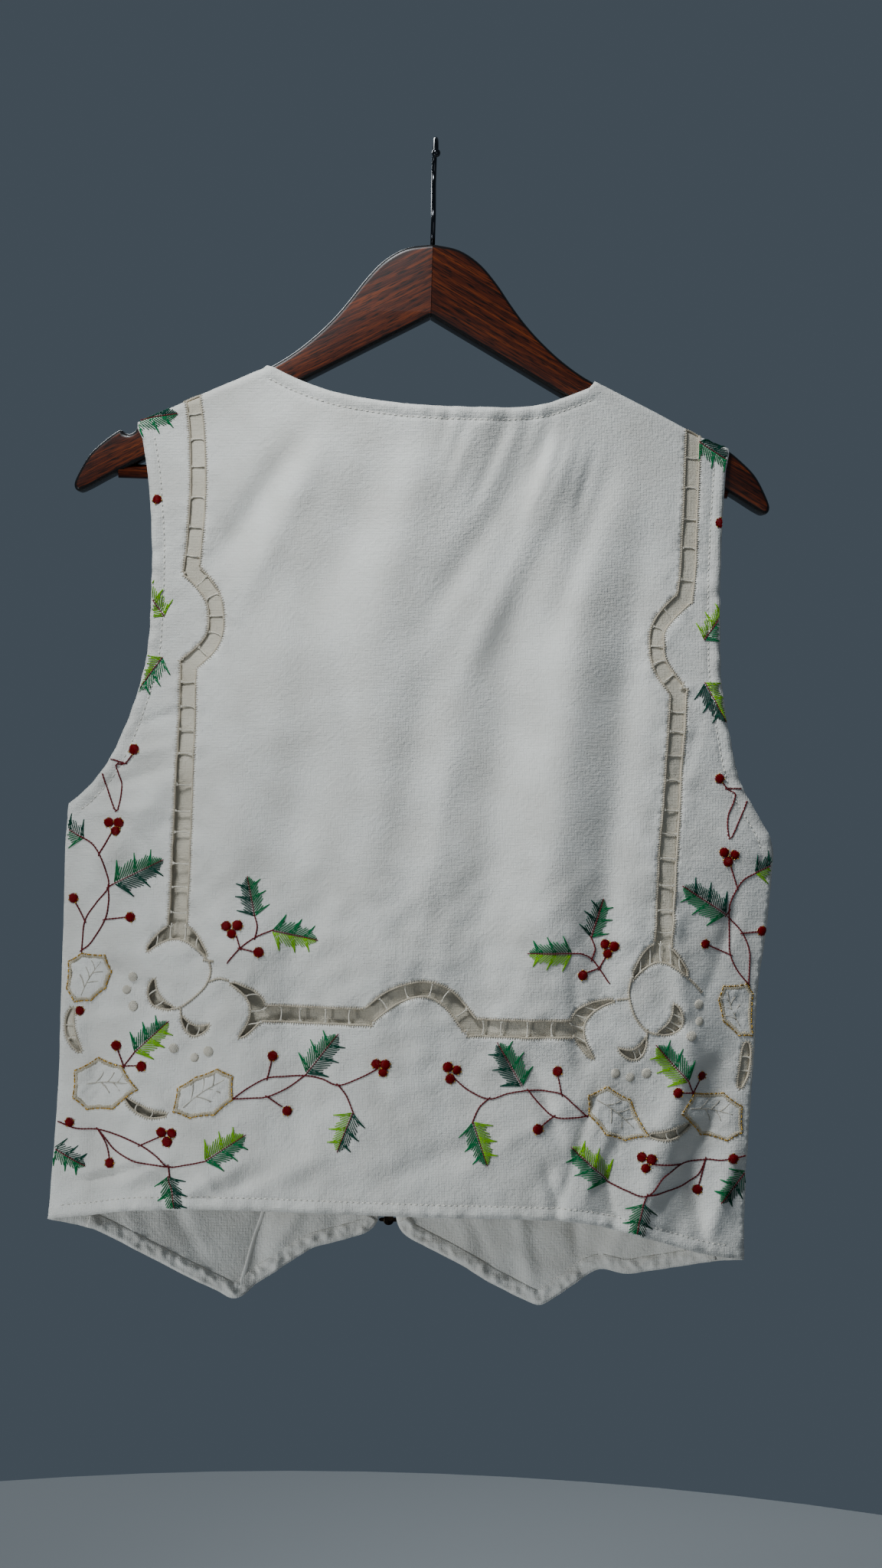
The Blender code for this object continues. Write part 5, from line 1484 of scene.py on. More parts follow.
# The stems: rust-red cotton in stem stitch, each stitch lying slantwise over the one before. Each row is
# one stem or twig, from where it starts to where it ends.
STEMS = (
    ((-114.1, -517.4), (-107.1, -509.0), (-98.2, -502.1), (-87.9, -497.4)),
    ((-107.1, -509.0), (-109.7, -501.5)),
    ((-98.2, -502.1), (-97.0, -495.3), (-98.6, -489.2)),
    ((-107.1, -509.0), (-99.4, -510.7)),
    ((124.3, -524.6), (118.1, -516.0), (113.1, -510.3), (106.6, -507.1), (100.3, -506.7)),
    ((118.1, -516.0), (122.3, -508.7)),
    ((113.1, -510.3), (114.8, -504.1), (112.2, -496.9)),
    ((118.1, -516.0), (110.9, -518.6)),
    (
        (-109.1, -603.3), (-99.3, -595.8), (-88.0, -589.6), (-77.0, -588.3), (-64.6, -587.4),
        (-53.8, -589.0), (-43.5, -592.5), (-31.2, -587.9), (-20.0, -581.8),
    ),
    ((-109.1, -603.3), (-96.7, -602.3), (-87.6, -601.1), (-75.4, -595.4), (-64.6, -587.4)),
    ((-88.0, -589.6), (-85.9, -580.0)),
    ((-87.6, -601.1), (-79.4, -606.5)),
    ((-43.5, -592.5), (-38.6, -598.6), (-33.9, -609.0)),
    (
        (112.6, -608.9), (104.6, -601.8), (96.2, -595.2), (85.9, -593.4), (75.3, -593.1),
        (62.6, -595.2), (50.4, -598.8), (37.8, -593.8), (29.0, -586.8),
    ),
    ((112.6, -608.9), (102.4, -610.0), (91.7, -609.1), (83.3, -602.5), (75.3, -593.1)),
    ((96.2, -595.2), (93.9, -585.1)),
    ((91.7, -609.1), (85.1, -614.0)),
    ((50.4, -598.8), (44.8, -604.2), (40.8, -612.9)),
    (
        (-218.6, -623.9), (-208.1, -627.1), (-194.2, -627.2), (-180.4, -630.2), (-166.6, -635.2),
        (-156.7, -640.9), (-148.2, -647.2), (-136.2, -645.6), (-125.2, -642.7),
    ),
    ((-194.2, -627.2), (-189.1, -632.6), (-182.0, -639.9), (-168.2, -645.8), (-148.2, -647.2)),
    ((-166.6, -635.2), (-154.6, -629.3)),
    ((-194.2, -627.2), (-188.5, -636.0), (-186.3, -644.0)),
    ((-148.2, -647.2), (-147.1, -652.9)),
    (
        (217.5, -634.8), (202.7, -637.4), (191.5, -637.2), (175.4, -639.9), (165.1, -646.1),
        (152.5, -658.5), (139.5, -655.6), (128.1, -650.2),
    ),
    ((191.5, -637.2), (185.7, -648.3), (170.4, -655.8), (152.5, -658.5)),
    ((175.4, -639.9), (154.9, -638.7)),
    ((191.5, -637.2), (187.9, -652.7)),
    ((152.5, -658.5), (150.7, -663.3)),
    ((-178.8, -586.3), (-172.2, -577.4)),
    ((-178.8, -586.3), (-182.5, -576.4)),
    ((-178.8, -586.3), (-170.0, -585.4)),
    ((181.5, -594.3), (177.8, -587.0)),
    ((181.5, -594.3), (186.3, -586.1)),
    ((181.5, -594.3), (174.0, -593.8)),
    (
        (-211.2, -442.7), (-203.2, -446.8), (-197.5, -453.3), (-193.8, -462.8), (-191.5, -473.8),
        (-199.5, -484.7), (-206.1, -496.1), (-207.5, -514.5),
    ),
    ((-191.5, -473.8), (-191.2, -484.4), (-193.3, -494.6), (-201.7, -509.4), (-207.5, -514.5)),
    ((-197.5, -453.3), (-191.0, -441.0)),
    ((-206.1, -496.1), (-212.9, -484.3)),
    ((-193.3, -494.6), (-179.6, -492.6)),
    ((-191.5, -473.8), (-188.1, -471.8)),
    (
        (217.6, -454.3), (211.0, -457.9), (206.5, -463.8), (201.7, -473.6), (202.0, -482.9),
        (202.4, -495.5), (203.2, -506.3), (208.7, -516.5), (216.2, -525.2),
    ),
    ((202.0, -482.9), (211.0, -492.5), (216.1, -505.2), (216.2, -525.2)),
    ((206.5, -463.8), (200.9, -449.3)),
    ((211.0, -492.5), (222.4, -491.5)),
    ((203.2, -506.3), (188.8, -500.5)),
    ((201.8, -478.5), (199.9, -481.0)),
    (
        (-177.9, -389.1), (-183.6, -396.0), (-188.9, -397.6), (-185.1, -410.5), (-188.0, -426.0),
        (-194.3, -412.2), (-198.2, -400.8),
    ),
    ((-183.6, -396.0), (-191.0, -393.8)),
    (
        (192.7, -394.5), (197.9, -400.6), (203.2, -405.4), (198.5, -419.6), (199.9, -432.2),
        (206.2, -420.9), (211.0, -408.1),
    ),
    ((197.9, -400.6), (207.1, -400.4)),
)
STEM_RED = "#6B1E24"
STEM_STITCH_PITCH = 2.0
STEM_STITCH_REACH = 1.5
STEM_SLANT = 0.22
STEM_WIDTH = 0.765
STEM_HEIGHT = 0.68
STEM_LIFTS = (0.05, 0.42, 0.1)


def stem_threads(points):
    """Slanting stitches, one after the other, along a line."""
    feet = even_path(points, STEM_STITCH_PITCH)
    ways = square_to(feet)
    threads = []
    for spot, way in zip(feet, ways):
        run = np.array((way[1], -way[0])) * STEM_STITCH_REACH
        ends = np.array([spot - run - way * STEM_SLANT, spot, spot + run + way * STEM_SLANT])
        threads.append(Thread(ends, STEM_WIDTH, STEM_HEIGHT, np.array(STEM_LIFTS)))
    return threads


stem_red = thread_material("rust_red_cotton_thread", STEM_RED, 0.55)
sew("stitched_stems", back_panel, [thread for stem in STEMS for thread in stem_threads(stem)], stem_red)

# The holly leaves: each half is open slanting stitches of green from the midrib out to a spiny edge, with
# longer stitches for the spines. The two halves are often two greens. The midrib is the stems' thread.
Leaf = namedtuple("Leaf", "base tip left right")
HOLLY = (
    Leaf((-98.6, -489.2), (-104.2, -464.0), "deep", "mid"),
    Leaf((-87.9, -497.4), (-58.6, -502.7), "mid", "lime"),
    Leaf((112.2, -496.9), (119.7, -472.2), "deep", "mid"),
    Leaf((100.3, -506.7), (71.8, -507.4), "lime", "mid"),
    Leaf((-63.7, -586.4), (-44.5, -560.6), "mid", "deep"),
    Leaf((-33.9, -609.0), (-43.2, -634.1), "deep", "lime"),
    Leaf((71.4, -590.8), (54.7, -563.3), "deep", "mid"),
    Leaf((40.8, -612.9), (50.7, -640.5), "lime", "mid"),
    Leaf((-125.2, -642.7), (-100.3, -625.4), "lime", "mid"),
    Leaf((-148.1, -652.9), (-142.6, -677.7), "deep", "mid"),
    Leaf((-222.6, -640.5), (-200.9, -650.8), "deep", "mid"),
    Leaf((128.1, -650.2), (103.0, -628.2), "mid", "lime"),
    Leaf((150.7, -663.3), (145.3, -689.1), "deep", "mid"),
    Leaf((218.4, -644.6), (201.5, -664.7), "deep", "mid"),
    Leaf((-172.2, -577.4), (-150.9, -556.7), "mid", "lime"),
    Leaf((177.8, -587.0), (155.6, -563.8), "lime", "mid"),
    Leaf((-208.2, -444.1), (-231.3, -432.3), "mid", "deep"),
    Leaf((-188.1, -471.8), (-157.4, -455.7), "mid", "deep"),
    Leaf((199.9, -481.0), (169.9, -463.0), "mid", "deep"),
    Leaf((217.6, -453.9), (240.0, -443.7), "deep", "lime"),
    Leaf((-161.5, -303.0), (-177.1, -282.2), "lime", "lime"),
    Leaf((-161.9, -328.5), (-177.5, -350.7), "mid", "lime"),
    Leaf((-187.7, -178.4), (-157.5, -173.7), "deep", "mid"),
    Leaf((180.4, -306.8), (195.1, -284.6), "lime", "mid"),
    Leaf((181.1, -333.5), (195.7, -358.5), "lime", "deep"),
    Leaf((174.5, -179.5), (198.4, -193.2), "deep", "mid"),
)
GREENS = {"deep": "#004434", "mid": "#007440", "lime": "#78B400"}
# How wide each half is along the leaf, as shares of its greatest width, and where the spines stand.
EdgeShare = namedtuple("EdgeShare", "along width")
HOLLY_EDGE = (
    EdgeShare(0.0, 0.45),
    EdgeShare(0.12, 1.0),
    EdgeShare(0.28, 0.84),
    EdgeShare(0.46, 1.0),
    EdgeShare(0.6, 0.72),
    EdgeShare(0.74, 0.78),
    EdgeShare(0.88, 0.42),
    EdgeShare(1.0, 0.06),
)
SPINES = (0.06, 0.4, 0.7)
HOLLY_HALF_WIDTH = 0.27
HATCH_PITCH = 1.65
HATCH_ANGLE = math.radians(48.0)
HATCH_WIDTH = 0.62
HATCH_HEIGHT = 0.6
HATCH_LIFTS = (0.1, 0.34, 0.4, 0.3, 0.05)
HATCH_REACHES = (1.0, 0.94, 1.03, 0.97)
HATCH_SHORTEST = 1.2
HATCH_FIRST, HATCH_LAST = 0.01, 0.93
HATCH_CLOSING = 0.35
HATCH_START = 0.08
HATCH_BOW = 0.8
SPINE_REACH = 3.6
SPINE_LEAN = 0.17
SPINE_STITCHES = 1.1
SPINE_ROOT = 0.12
MIDRIB_WIDTH = 0.6
MIDRIB_HEIGHT = 0.7
MIDRIB_LIFT = 0.4
MIDRIB_STEP = 1.6


def holly_half(leaf, side):
    """The stitches of one half of a leaf, with the ends of neighbouring ones at uneven lengths."""
    base, tip = np.array(leaf.base), np.array(leaf.tip)
    length = np.hypot(*(tip - base))
    run = (tip - base) / length
    square = np.array((-run[1], run[0])) * side
    greatest = HOLLY_HALF_WIDTH * length
    threads = []
    starts = np.arange(HATCH_FIRST, HATCH_LAST, HATCH_PITCH / length)
    for number, share in enumerate(starts):
        angle = HATCH_ANGLE * (1.0 - HATCH_CLOSING * share)
        reaches = np.arange(0.5, 2.2 * greatest, 0.1)
        along = share + reaches * math.cos(angle) / length
        edge = along_rows(HOLLY_EDGE, np.minimum(along, 1.0), "along", "width") * greatest
        within = (reaches * math.sin(angle) < edge) & (along < 1.0)
        reach = reaches[np.argmin(within)] if not within.all() else reaches[-1]
        reach *= HATCH_REACHES[number % len(HATCH_REACHES)]
        way = run * math.cos(angle) + square * math.sin(angle)
        root = base + run * share * length
        ends = [root + way * max(HATCH_SHORTEST, reach)]
        for spine in SPINES:
            if abs(spine - share) < SPINE_STITCHES * HATCH_PITCH / length:
                edge = along_rows(HOLLY_EDGE, spine + SPINE_ROOT, "along", "width") * greatest
                ends.append(base + run * (spine + SPINE_LEAN) * length + square * (edge + SPINE_REACH))
        for end in ends:
            shares = np.linspace(HATCH_START, 1.0, len(HATCH_LIFTS))[:, None]
            points = root + (end - root) * shares + run * HATCH_BOW * shares * (1.0 - shares)
            threads.append(Thread(points, HATCH_WIDTH, HATCH_HEIGHT, np.array(HATCH_LIFTS)))
    return threads


leaf_threads = {colour: [] for colour in GREENS}
midribs = []
for leaf in HOLLY:
    leaf_threads[leaf.left] += holly_half(leaf, 1.0)
    leaf_threads[leaf.right] += holly_half(leaf, -1.0)
    path = even_path([leaf.base, leaf.tip], MIDRIB_STEP)
    midribs.append(Thread(path, MIDRIB_WIDTH, MIDRIB_HEIGHT, MIDRIB_LIFT))
for colour, threads in leaf_threads.items():
    green = thread_material(colour + "_green_cotton_thread", GREENS[colour], 0.5)
    sew("holly_" + colour + "_stitches", back_panel, threads, green)
sew("holly_midribs", back_panel, midribs, stem_red)

# The berries: padded satin stitch in crimson, each with a few gold stitches round its rim. They differ a
# little in size and in the way that their stitches run.
BERRIES = (
    (-116.2, -495.5), (-109.2, -494.8), (-112.7, -500.2), (-95.6, -511.1), (121.4, -500.8), (127.2, -502.1),
    (123.2, -506.8), (107.6, -520.5), (-20.4, -578.4), (-14.8, -578.7), (-16.1, -583.6), (-85.1, -575.7),
    (-75.0, -609.7), (24.4, -579.6), (30.1, -581.4), (26.0, -586.8), (93.3, -580.8), (81.8, -617.0),
    (-212.2, -623.5), (-153.2, -626.2), (-146.6, -626.3), (-149.4, -631.9), (-185.7, -647.4),
    (209.3, -636.5), (148.9, -634.4), (155.0, -635.6), (151.5, -641.3), (187.0, -656.5), (-183.6, -573.6),
    (-167.1, -585.7), (187.3, -583.7), (171.0, -593.8), (-192.6, -433.5), (-186.4, -433.5),
    (-188.1, -438.7), (-214.0, -482.0), (-177.2, -492.5), (-178.0, -387.2), (-168.8, -228.8),
    (196.6, -441.2), (203.6, -442.5), (199.3, -447.0), (186.2, -499.6), (224.0, -491.0),
    (192.7, -394.5), (189.3, -231.3), (-208.0, -553.0),
)
BERRY_RADIUS = 3.0
BERRY_RISE = 1.2
BERRY_STRANDS = 9
BERRY_RED = "#70000A"
BERRY_SIZES = (1.0, 1.06, 0.94, 1.02)
BERRY_TURN = 2.4
# Where the gold stitches stand round a berry, in radians, and how far they lie out from its middle.
BERRY_GOLD_STITCHES = (0.3, 1.2, 2.9, 3.7, 5.0)
BERRY_GOLD_HALF = 0.14
BERRY_GOLD_OUT = 1.06
BERRY_GOLD_WIDTH = 0.8
BERRY_GOLD_HEIGHT = 0.6
BERRY_GOLD_LIFT = 0.6
berry_threads = []
for number, (x, z) in enumerate(BERRIES):
    turn = BERRY_TURN * number
    size = BERRY_RADIUS * BERRY_SIZES[number % len(BERRY_SIZES)]
    berry_threads += satin_pad(x, z, size, BERRY_RISE, BERRY_STRANDS, turn)
    for place in BERRY_GOLD_STITCHES:
        ends = turn + place + np.array((-BERRY_GOLD_HALF, BERRY_GOLD_HALF))
        points = np.array((x, z)) + BERRY_GOLD_OUT * size * np.stack([np.cos(ends), np.sin(ends)], axis=1)
        gold_threads.append(Thread(points, BERRY_GOLD_WIDTH, BERRY_GOLD_HEIGHT, BERRY_GOLD_LIFT))
sew("satin_berries", back_panel, berry_threads, thread_material("crimson_satin_thread", BERRY_RED, 0.42))
sew("gold_threads", back_panel, gold_threads, gold_foil)

# The hem stitches: a line of white machine stitching 7.7 mm in from the neck, the armholes and the hem,
# pulled slightly into the cloth.
HEM_STITCH = 2.3
HEM_STITCH_GAP = 1.3
HEM_THREAD = "#E4DFD5"
HEM_THREAD_WIDTH = 0.75
HEM_THREAD_HEIGHT = 0.6
HEM_THREAD_LIFTS = (0.1, 0.4, 0.1)


def hem_threads(panel):
    threads = []
    for hem in panel.hems:
        row = hem_row(panel, hem, STITCH_INSET)
        if len(row) < 4:
            continue
        line = even_path(row, (HEM_STITCH + HEM_STITCH_GAP) / 4.0)
        for first in range(0, len(line) - 4, 4):
            part = line[first : first + 3]
            threads.append(Thread(part, HEM_THREAD_WIDTH, HEM_THREAD_HEIGHT, np.array(HEM_THREAD_LIFTS)))
    return threads


white_thread = thread_material("white_cotton_thread", HEM_THREAD, 0.75)
sew("back_hem_stitches", back_panel, hem_threads(back_panel), white_thread)

# The fronts: two panels of the same cotton that close edge to edge and end in points below the back's
# hem. From behind only their inner faces show there. The left one has a seam down to its point.
FRONT_NECKS = {
    "left": (
        (-14.0, -340.0), (-22.0, -322.0), (-48.0, -270.0), (-76.0, -206.0), (-92.0, -168.0),
        (-99.0, -150.0),
    ),
    "right": (
        (-3.0, -340.0), (7.0, -322.0), (38.0, -270.0), (72.0, -210.0), (93.0, -172.0), (103.0, -154.0),
    ),
}
FRONT_ARMHOLES = {
    "left": (
        (-177.0, -196.0), (-166.0, -235.0), (-159.0, -285.0), (-160.0, -330.0), (-170.0, -368.0),
        (-188.0, -398.0), (-206.0, -415.0), (-219.3, -424.0),
    ),
    "right": (
        (189.0, -202.0), (180.0, -240.0), (175.0, -290.0), (178.0, -338.0), (188.0, -376.0),
        (204.0, -408.0), (218.0, -429.0), (229.6, -441.0),
    ),
}
FRONT_HEMS = {
    "left": (
        (-224.9, -686.0), (-202.2, -691.8), (-188.8, -697.6), (-140.4, -723.8), (-119.1, -734.2),
        (-106.2, -739.6), (-91.7, -729.9), (-72.8, -716.9), (-57.2, -707.0), (-45.4, -703.4),
        (-30.1, -699.2), (-20.5, -695.0), (-15.4, -688.5), (-13.0, -677.0),
    ),
    "right": (
        (218.6, -702.0), (202.6, -704.4), (183.7, -708.8), (159.2, -714.5), (145.7, -716.8),
        (132.4, -714.9), (124.6, -717.4), (113.0, -726.0), (99.5, -736.0), (90.2, -740.2),
        (78.1, -735.9), (57.9, -726.1), (38.1, -714.9), (13.9, -703.4), (2.6, -697.2),
        (-2.6, -689.5), (-4.4, -678.0),
    ),
}
FRONT_FOLDS = (
    Fold(-120.0, -240.0, -104.0, -640.0, 20.0, 4.5),
    Fold(-60.0, -340.0, -56.0, -690.0, 16.0, -3.5),
    Fold(-170.0, -430.0, -160.0, -680.0, 15.0, -3.0),
    Fold(128.0, -240.0, 98.0, -640.0, 20.0, 4.5),
    Fold(52.0, -340.0, 44.0, -690.0, 16.0, -3.5),
    Fold(170.0, -450.0, 150.0, -690.0, 14.0, -3.5),
    Fold(122.0, -560.0, 128.0, -705.0, 17.0, 4.0),
)
FRONT_CREASES = (
    Fold(-80.0, -610.0, -96.0, -738.0, 5.0, 1.4),
    Fold(-150.0, -676.0, -128.0, -716.0, 5.0, 1.1),
    Fold(-62.0, -676.0, -84.0, -712.0, 4.4, -1.0),
    Fold(-30.0, -660.0, -44.0, -696.0, 4.0, 0.8),
    Fold(-184.0, -660.0, -170.0, -700.0, 4.6, -0.9),
    Fold(36.0, -668.0, 58.0, -712.0, 4.6, 1.0),
    Fold(74.0, -672.0, 86.0, -728.0, 4.4, -1.1),
    Fold(112.0, -676.0, 116.0, -714.0, 4.2, 1.2),
    Fold(146.0, -670.0, 136.0, -708.0, 4.4, -1.3),
    Fold(176.0, -668.0, 160.0, -704.0, 5.0, 1.0),
    Fold(-206.0, -450.0, -168.0, -430.0, 4.4, 0.9),
    Fold(-200.0, -480.0, -160.0, -452.0, 5.0, -0.8),
    Fold(210.0, -470.0, 176.0, -448.0, 4.6, 0.9),
    Fold(206.0, -500.0, 170.0, -474.0, 5.0, -0.8),
    Fold(-120.0, -230.0, -84.0, -300.0, 6.0, 0.9),
    Fold(-146.0, -240.0, -104.0, -330.0, 7.0, -1.0),
    Fold(124.0, -236.0, 88.0, -310.0, 6.0, 0.9),
    Fold(156.0, -250.0, 118.0, -340.0, 7.0, -1.0),
    Fold(-24.0, -400.0, -74.0, -432.0, 7.0, 0.8),
    Fold(8.0, -410.0, 62.0, -446.0, 7.0, 0.8),
    Fold(-24.0, -520.0, -70.0, -548.0, 7.0, -0.8),
    Fold(8.0, -526.0, 58.0, -560.0, 7.0, -0.8),
)
FRONT_GRID = 3.6


def front_point(x, height):
    """Where the middle of a front's cloth lies, from its place on the flat pattern."""
    seat_y, z, depth = on_arm(x, height, 1.0)
    bow = 1.0 - side_share(x, z) ** BODY_ROUNDNESS
    body_y = SIDE_Y + (WALL + SEAM_GAP) / 2.0 + along_rows(SECTIONS, z, "z", "front_depth") * bow
    hang_y = blend(FRONT_TOP_Y, body_y, smooth_step((BODY_TOP_Z - z) / BODY_FALL))
    free = smooth_step(depth / SEAT_FALL)
    loose = free * smooth_step((1.0 - side_share(x, z)) / LOOSE_SHARE)
    hang_y = hang_y + loose * fold_depth(FRONT_FOLDS, x, z)
    hang_y = hang_y + free * CREASE_DEPTH * fold_depth(FRONT_CREASES, x, z)
    return np.stack([x, blend(seat_y, hang_y, smooth_step(depth * 2.0 / SEAT_FALL)), z], axis=-1)


front_panels = {}
for side, neck_x, shoulder_x in (("left", NECK_LEFT, SHOULDER_LEFT), ("right", NECK_RIGHT, SHOULDER_RIGHT)):
    neck, armhole, hem = FRONT_NECKS[side], FRONT_ARMHOLES[side], FRONT_HEMS[side]
    side_seam = side_run(side, armhole[-1][1] - 2.0, hem[0][1] + 2.0)
    outline = even_loop((neck, shoulder_run(neck_x, shoulder_x), armhole, side_seam, hem), OUTLINE_STEP)
    hems = [smooth_path(run, OUTLINE_STEP) for run in (hem[::-1] + neck, armhole)]
    panel = Panel(front_point, -1.0, outline, [], hems, CLOTH)
    front_panels[side] = panel
    name = "cotton_front_" + side
    front = add_piece(name, cloth_mesh(name, panel, FRONT_GRID), "cotton", cotton)
    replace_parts(front, "front_" + side)
    sew("front_hem_stitches_" + side, panel, hem_threads(panel), white_thread)

# The left front's seam is pressed to one side, so its allowance shows as a flat welt on the inner face.
SEAM_LINE = ((-70.0, -520.0), (-80.0, -610.0), (-88.0, -674.0), (-96.0, -706.0), (-103.6, -733.0))
SEAM_WIDTH = 3.0
SEAM_THICKNESS = 1.2
SEAM_SIDES = 8
welt = Thread(even_path(SEAM_LINE, 3.0), SEAM_WIDTH, SEAM_THICKNESS, 0.0)
sew("front_seam_left", front_panels["left"], [welt], cotton, SEAM_SIDES, outside=False)

# The facings: a narrow strip of the same cotton, cut on the bias and sewn inside each front's lower edge.
# It is eased round the curves, so it puckers between its two lines of stitching.
FACING_CLOTH = 0.4
FACING_INSET = 0.8
FACING_WIDTH = 9.0
FACING_STEP = 1.4
FACING_ROWS = 9
FACING_GAP = 0.05
FACING_TUCK = 0.4
FACING_EASE = 0.51
FACING_PUCKER = Uneven(2.55, 4.6, 31.0)


def facing_mesh(name, panel, hem):
    """A strip on the inner face of a front along its hem, with its own thickness and puckers."""
    line = even_path(np.array(hem[1:-1]), FACING_STEP)
    inward = square_to(line)
    if inside(panel.outline, line + inward * 4.0).mean() < 0.5:
        inward = -inward
    across = np.linspace(0.0, 1.0, FACING_ROWS)
    spots = line[:, None] + inward[:, None] * (FACING_INSET + FACING_WIDTH * across)[None, :, None]
    flat = spots.reshape(-1, 2)
    middle, out, _, inner = cloth_faces(panel, flat)
    held = np.sin(math.pi * np.tile(across, len(line))) ** 0.7
    pucker = (FACING_EASE + uneven_rise(flat, FACING_PUCKER)) * held
    tucked = FACING_TUCK * np.tile(across, len(line)) ** 6
    near = -out * (inner + FACING_GAP + np.maximum(pucker, 0.0) - tucked)[:, None]
    points = np.concatenate([middle + near, middle + near - out * FACING_CLOTH])
    outer_rows, inner_rows = np.arange(len(points)).reshape(2, len(line), FACING_ROWS)
    rings = np.concatenate([outer_rows, inner_rows[:, ::-1]], axis=1)
    after = np.roll(rings, -1, axis=1)
    faces = np.stack([rings[:-1], after[:-1], after[1:], rings[1:]], axis=-1).reshape(-1, 4).tolist()
    for end in (0, -1):
        outer_row, inner_row = outer_rows[end], inner_rows[end]
        faces += np.stack([outer_row[:-1], outer_row[1:], inner_row[1:], inner_row[:-1]], axis=-1).tolist()
    mesh = smooth_mesh(name, points, faces)
    map_weave(mesh, np.concatenate([flat, flat]))
    bm = bmesh.new()
    bm.from_mesh(mesh)
    bmesh.ops.recalc_face_normals(bm, faces=bm.faces)
    bm.to_mesh(mesh)
    bm.free()
    return mesh


for side in ("left", "right"):
    name = "bias_facing_" + side
    strip = add_piece(name, facing_mesh(name, front_panels[side], FRONT_HEMS[side]), "bias_strip", cotton)
    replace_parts(strip, "front_facing_" + side)
    length = float(np.sum(np.hypot(*np.diff(np.array(FRONT_HEMS[side][1:-1]), axis=0).T))) * MM

# The clasps: four small blackened brass hook-and-eye clasps join the fronts edge to edge. Each is a domed
# boss on a flat bar with rounded ends, sewn to the outer face of both fronts.
CLASP_X = -8.2
CLASP_HEIGHTS = (-352.0, -464.0, -576.0, -688.0)
CLASP_RADIUS = 3.5
CLASP_DOME = 3.0
CLASP_BAR_LENGTH = 12.6
CLASP_BAR_WIDTH = 2.6
CLASP_BAR_THICKNESS = 1.6
CLASP_SEAT = 0.3
CLASP_SEAT_REACH = 6.0
CLASP_DOME_PROUD = 0.4
CLASP_SIDES = 32
CLASP_BAR_SIDES = 16
CLASP_BAR_POINTS = 13
CLASP_BAR_ROUNDED_FROM = 0.8
# The boss's outline from its foot to its top: shares of its height and of its greatest width.
CLASP_RINGS = ((0.0, 0.75), (0.08, 0.97), (0.3, 1.0), (0.55, 0.9), (0.78, 0.66), (0.94, 0.36), (1.0, 0.05))
BLACK_BRASS = "#191512"
RUBBED_BRASS = "#4A3D2E"
RUBBED_MM = 2.5


def clasp_walls(z):
    """The boss and the bar of one clasp, seated on the cloth at this height."""
    ends = np.array([CLASP_X - CLASP_BAR_LENGTH / 2.0, CLASP_X + CLASP_BAR_LENGTH / 2.0])
    rises = np.array([-CLASP_SEAT_REACH, 0.0, CLASP_SEAT_REACH])
    around = front_point(np.repeat(ends, 3), z + np.tile(rises, 2))
    seat = float(around[:, 1].max()) + WALL / 2.0 + CLASP_SEAT
    shares = np.linspace(-1.0, 1.0, CLASP_BAR_POINTS)
    rounded = np.maximum(0.0, np.abs(shares) - CLASP_BAR_ROUNDED_FROM)
    taper = np.sqrt(np.clip(1.0 - rounded**2 / 0.045, 0.02, 1.0))
    middle_y = seat + CLASP_BAR_THICKNESS / 2.0
    bar = [(CLASP_X + share * CLASP_BAR_LENGTH / 2.0, middle_y, z) for share in shares]
    widths, heights = CLASP_BAR_WIDTH * taper, CLASP_BAR_THICKNESS * taper
    flat_bar = strand(bar, (0.0, 1.0, 0.0), widths, heights, CLASP_BAR_SIDES)
    top = seat + CLASP_BAR_THICKNESS + CLASP_DOME_PROUD
    boss = [(CLASP_X, top - CLASP_DOME + CLASP_DOME * rise, z) for rise, _ in CLASP_RINGS]
    widths = np.array([2.0 * CLASP_RADIUS * width for _, width in CLASP_RINGS])
    return flat_bar, strand(boss, (0.0, 0.0, 1.0), widths, widths, CLASP_SIDES)


# Blackened brass is dark with a low warm shine, and is rubbed a little brighter in soft patches.
black_brass, tree, shader = new_material("blackened_brass", {"Metallic": 1.0, "Roughness": 0.38})
spot = add_node(tree, "ShaderNodeTexCoord").outputs["Object"]
rubbed = add_noise(tree, spot, RUBBED_MM, 3.0)
brass_tone = add_ramp(tree, rubbed, ((0.45, BLACK_BRASS), (0.8, RUBBED_BRASS)))
tree.links.new(brass_tone, shader.inputs["Base Color"])
for number, height in enumerate(CLASP_HEIGHTS, 1):
    name = "brass_clasp_" + str(number)
    clasp = add_piece(name, mesh_of(name, clasp_walls(height)), "clasp", black_brass)
    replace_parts(clasp, "front_clasp_" + str(number))

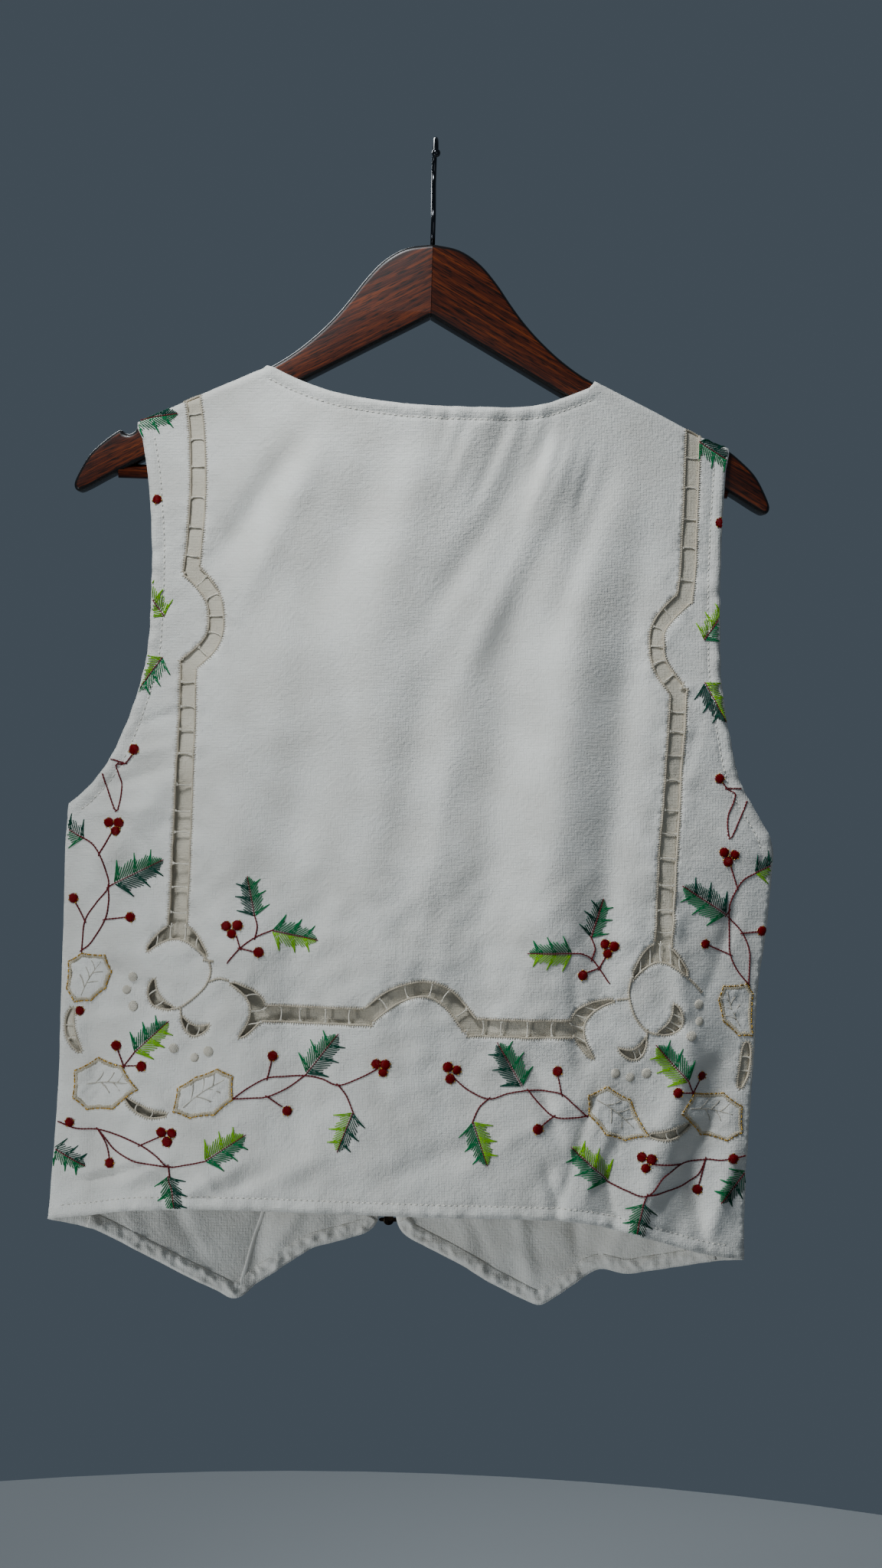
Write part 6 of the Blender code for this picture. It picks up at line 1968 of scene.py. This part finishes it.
# The floor: a plain round of pale matt paint, well below the hem, so that it only sends back a little
# soft light.
FLOOR_Z = -1.2
FLOOR_RADIUS = 1.3
FLOOR_PAINT = "#BFC2C4"
bpy.ops.mesh.primitive_circle_add(
    vertices=96, radius=FLOOR_RADIUS, fill_type="NGON", location=(0.0, 0.0, FLOOR_Z)
)
floor = bpy.context.object
floor.name = "pale_floor"
floor_paint = new_material("matt_floor_paint", {"Base Color": linear(FLOOR_PAINT), "Roughness": 0.9})[0]
floor.data.materials.append(floor_paint)

# The studio: a lamp high on the left of the camera skims the folds, a large weak one by the camera fills
# the shadows, a small one low on the left lights the fronts' inner faces, and one behind lights their
# outer faces. Places are in metres, and the spread is in degrees. All shine a little cool.
Lamp = namedtuple("Lamp", "name place aim size watts spread")
LAMPS = (
    Lamp("key", (-0.5, -0.6, 0.58), (0.09, 0.0, -0.35), 0.3, 1.5, 50.0),
    Lamp("fill", (0.4, -1.9, -0.55), (0.03, 0.0, -0.36), 1.4, 0.46, 70.0),
    Lamp("low", (-1.0, -0.6, -0.98), (0.05, 0.0, -0.84), 0.3, 1.35, 76.0),
    Lamp("rear", (-0.6, 1.5, 0.7), (0.0, 0.0, -0.42), 0.7, 12.0, 180.0),
)
LAMP_LIGHT = (0.9, 0.965, 1.0)
WORLD_BLUE_GREY = "#5F6C78"
WORLD_STRENGTH = 0.52
for row in LAMPS:
    lamp = bpy.data.lights.new(row.name, "AREA")
    lamp.size = row.size
    lamp.energy = row.watts
    lamp.spread = math.radians(row.spread)
    lamp.color = LAMP_LIGHT
    holder = bpy.data.objects.new(row.name, lamp)
    holder.location = row.place
    holder.rotation_euler = (Vector(row.aim) - Vector(row.place)).to_track_quat("-Z", "Y").to_euler()
    bpy.context.scene.collection.objects.link(holder)
world = bpy.data.worlds.new("studio")
world.use_nodes = True
background = world.node_tree.nodes["Background"]
background.inputs["Color"].default_value = linear(WORLD_BLUE_GREY)
background.inputs["Strength"].default_value = WORLD_STRENGTH
bpy.context.scene.world = world
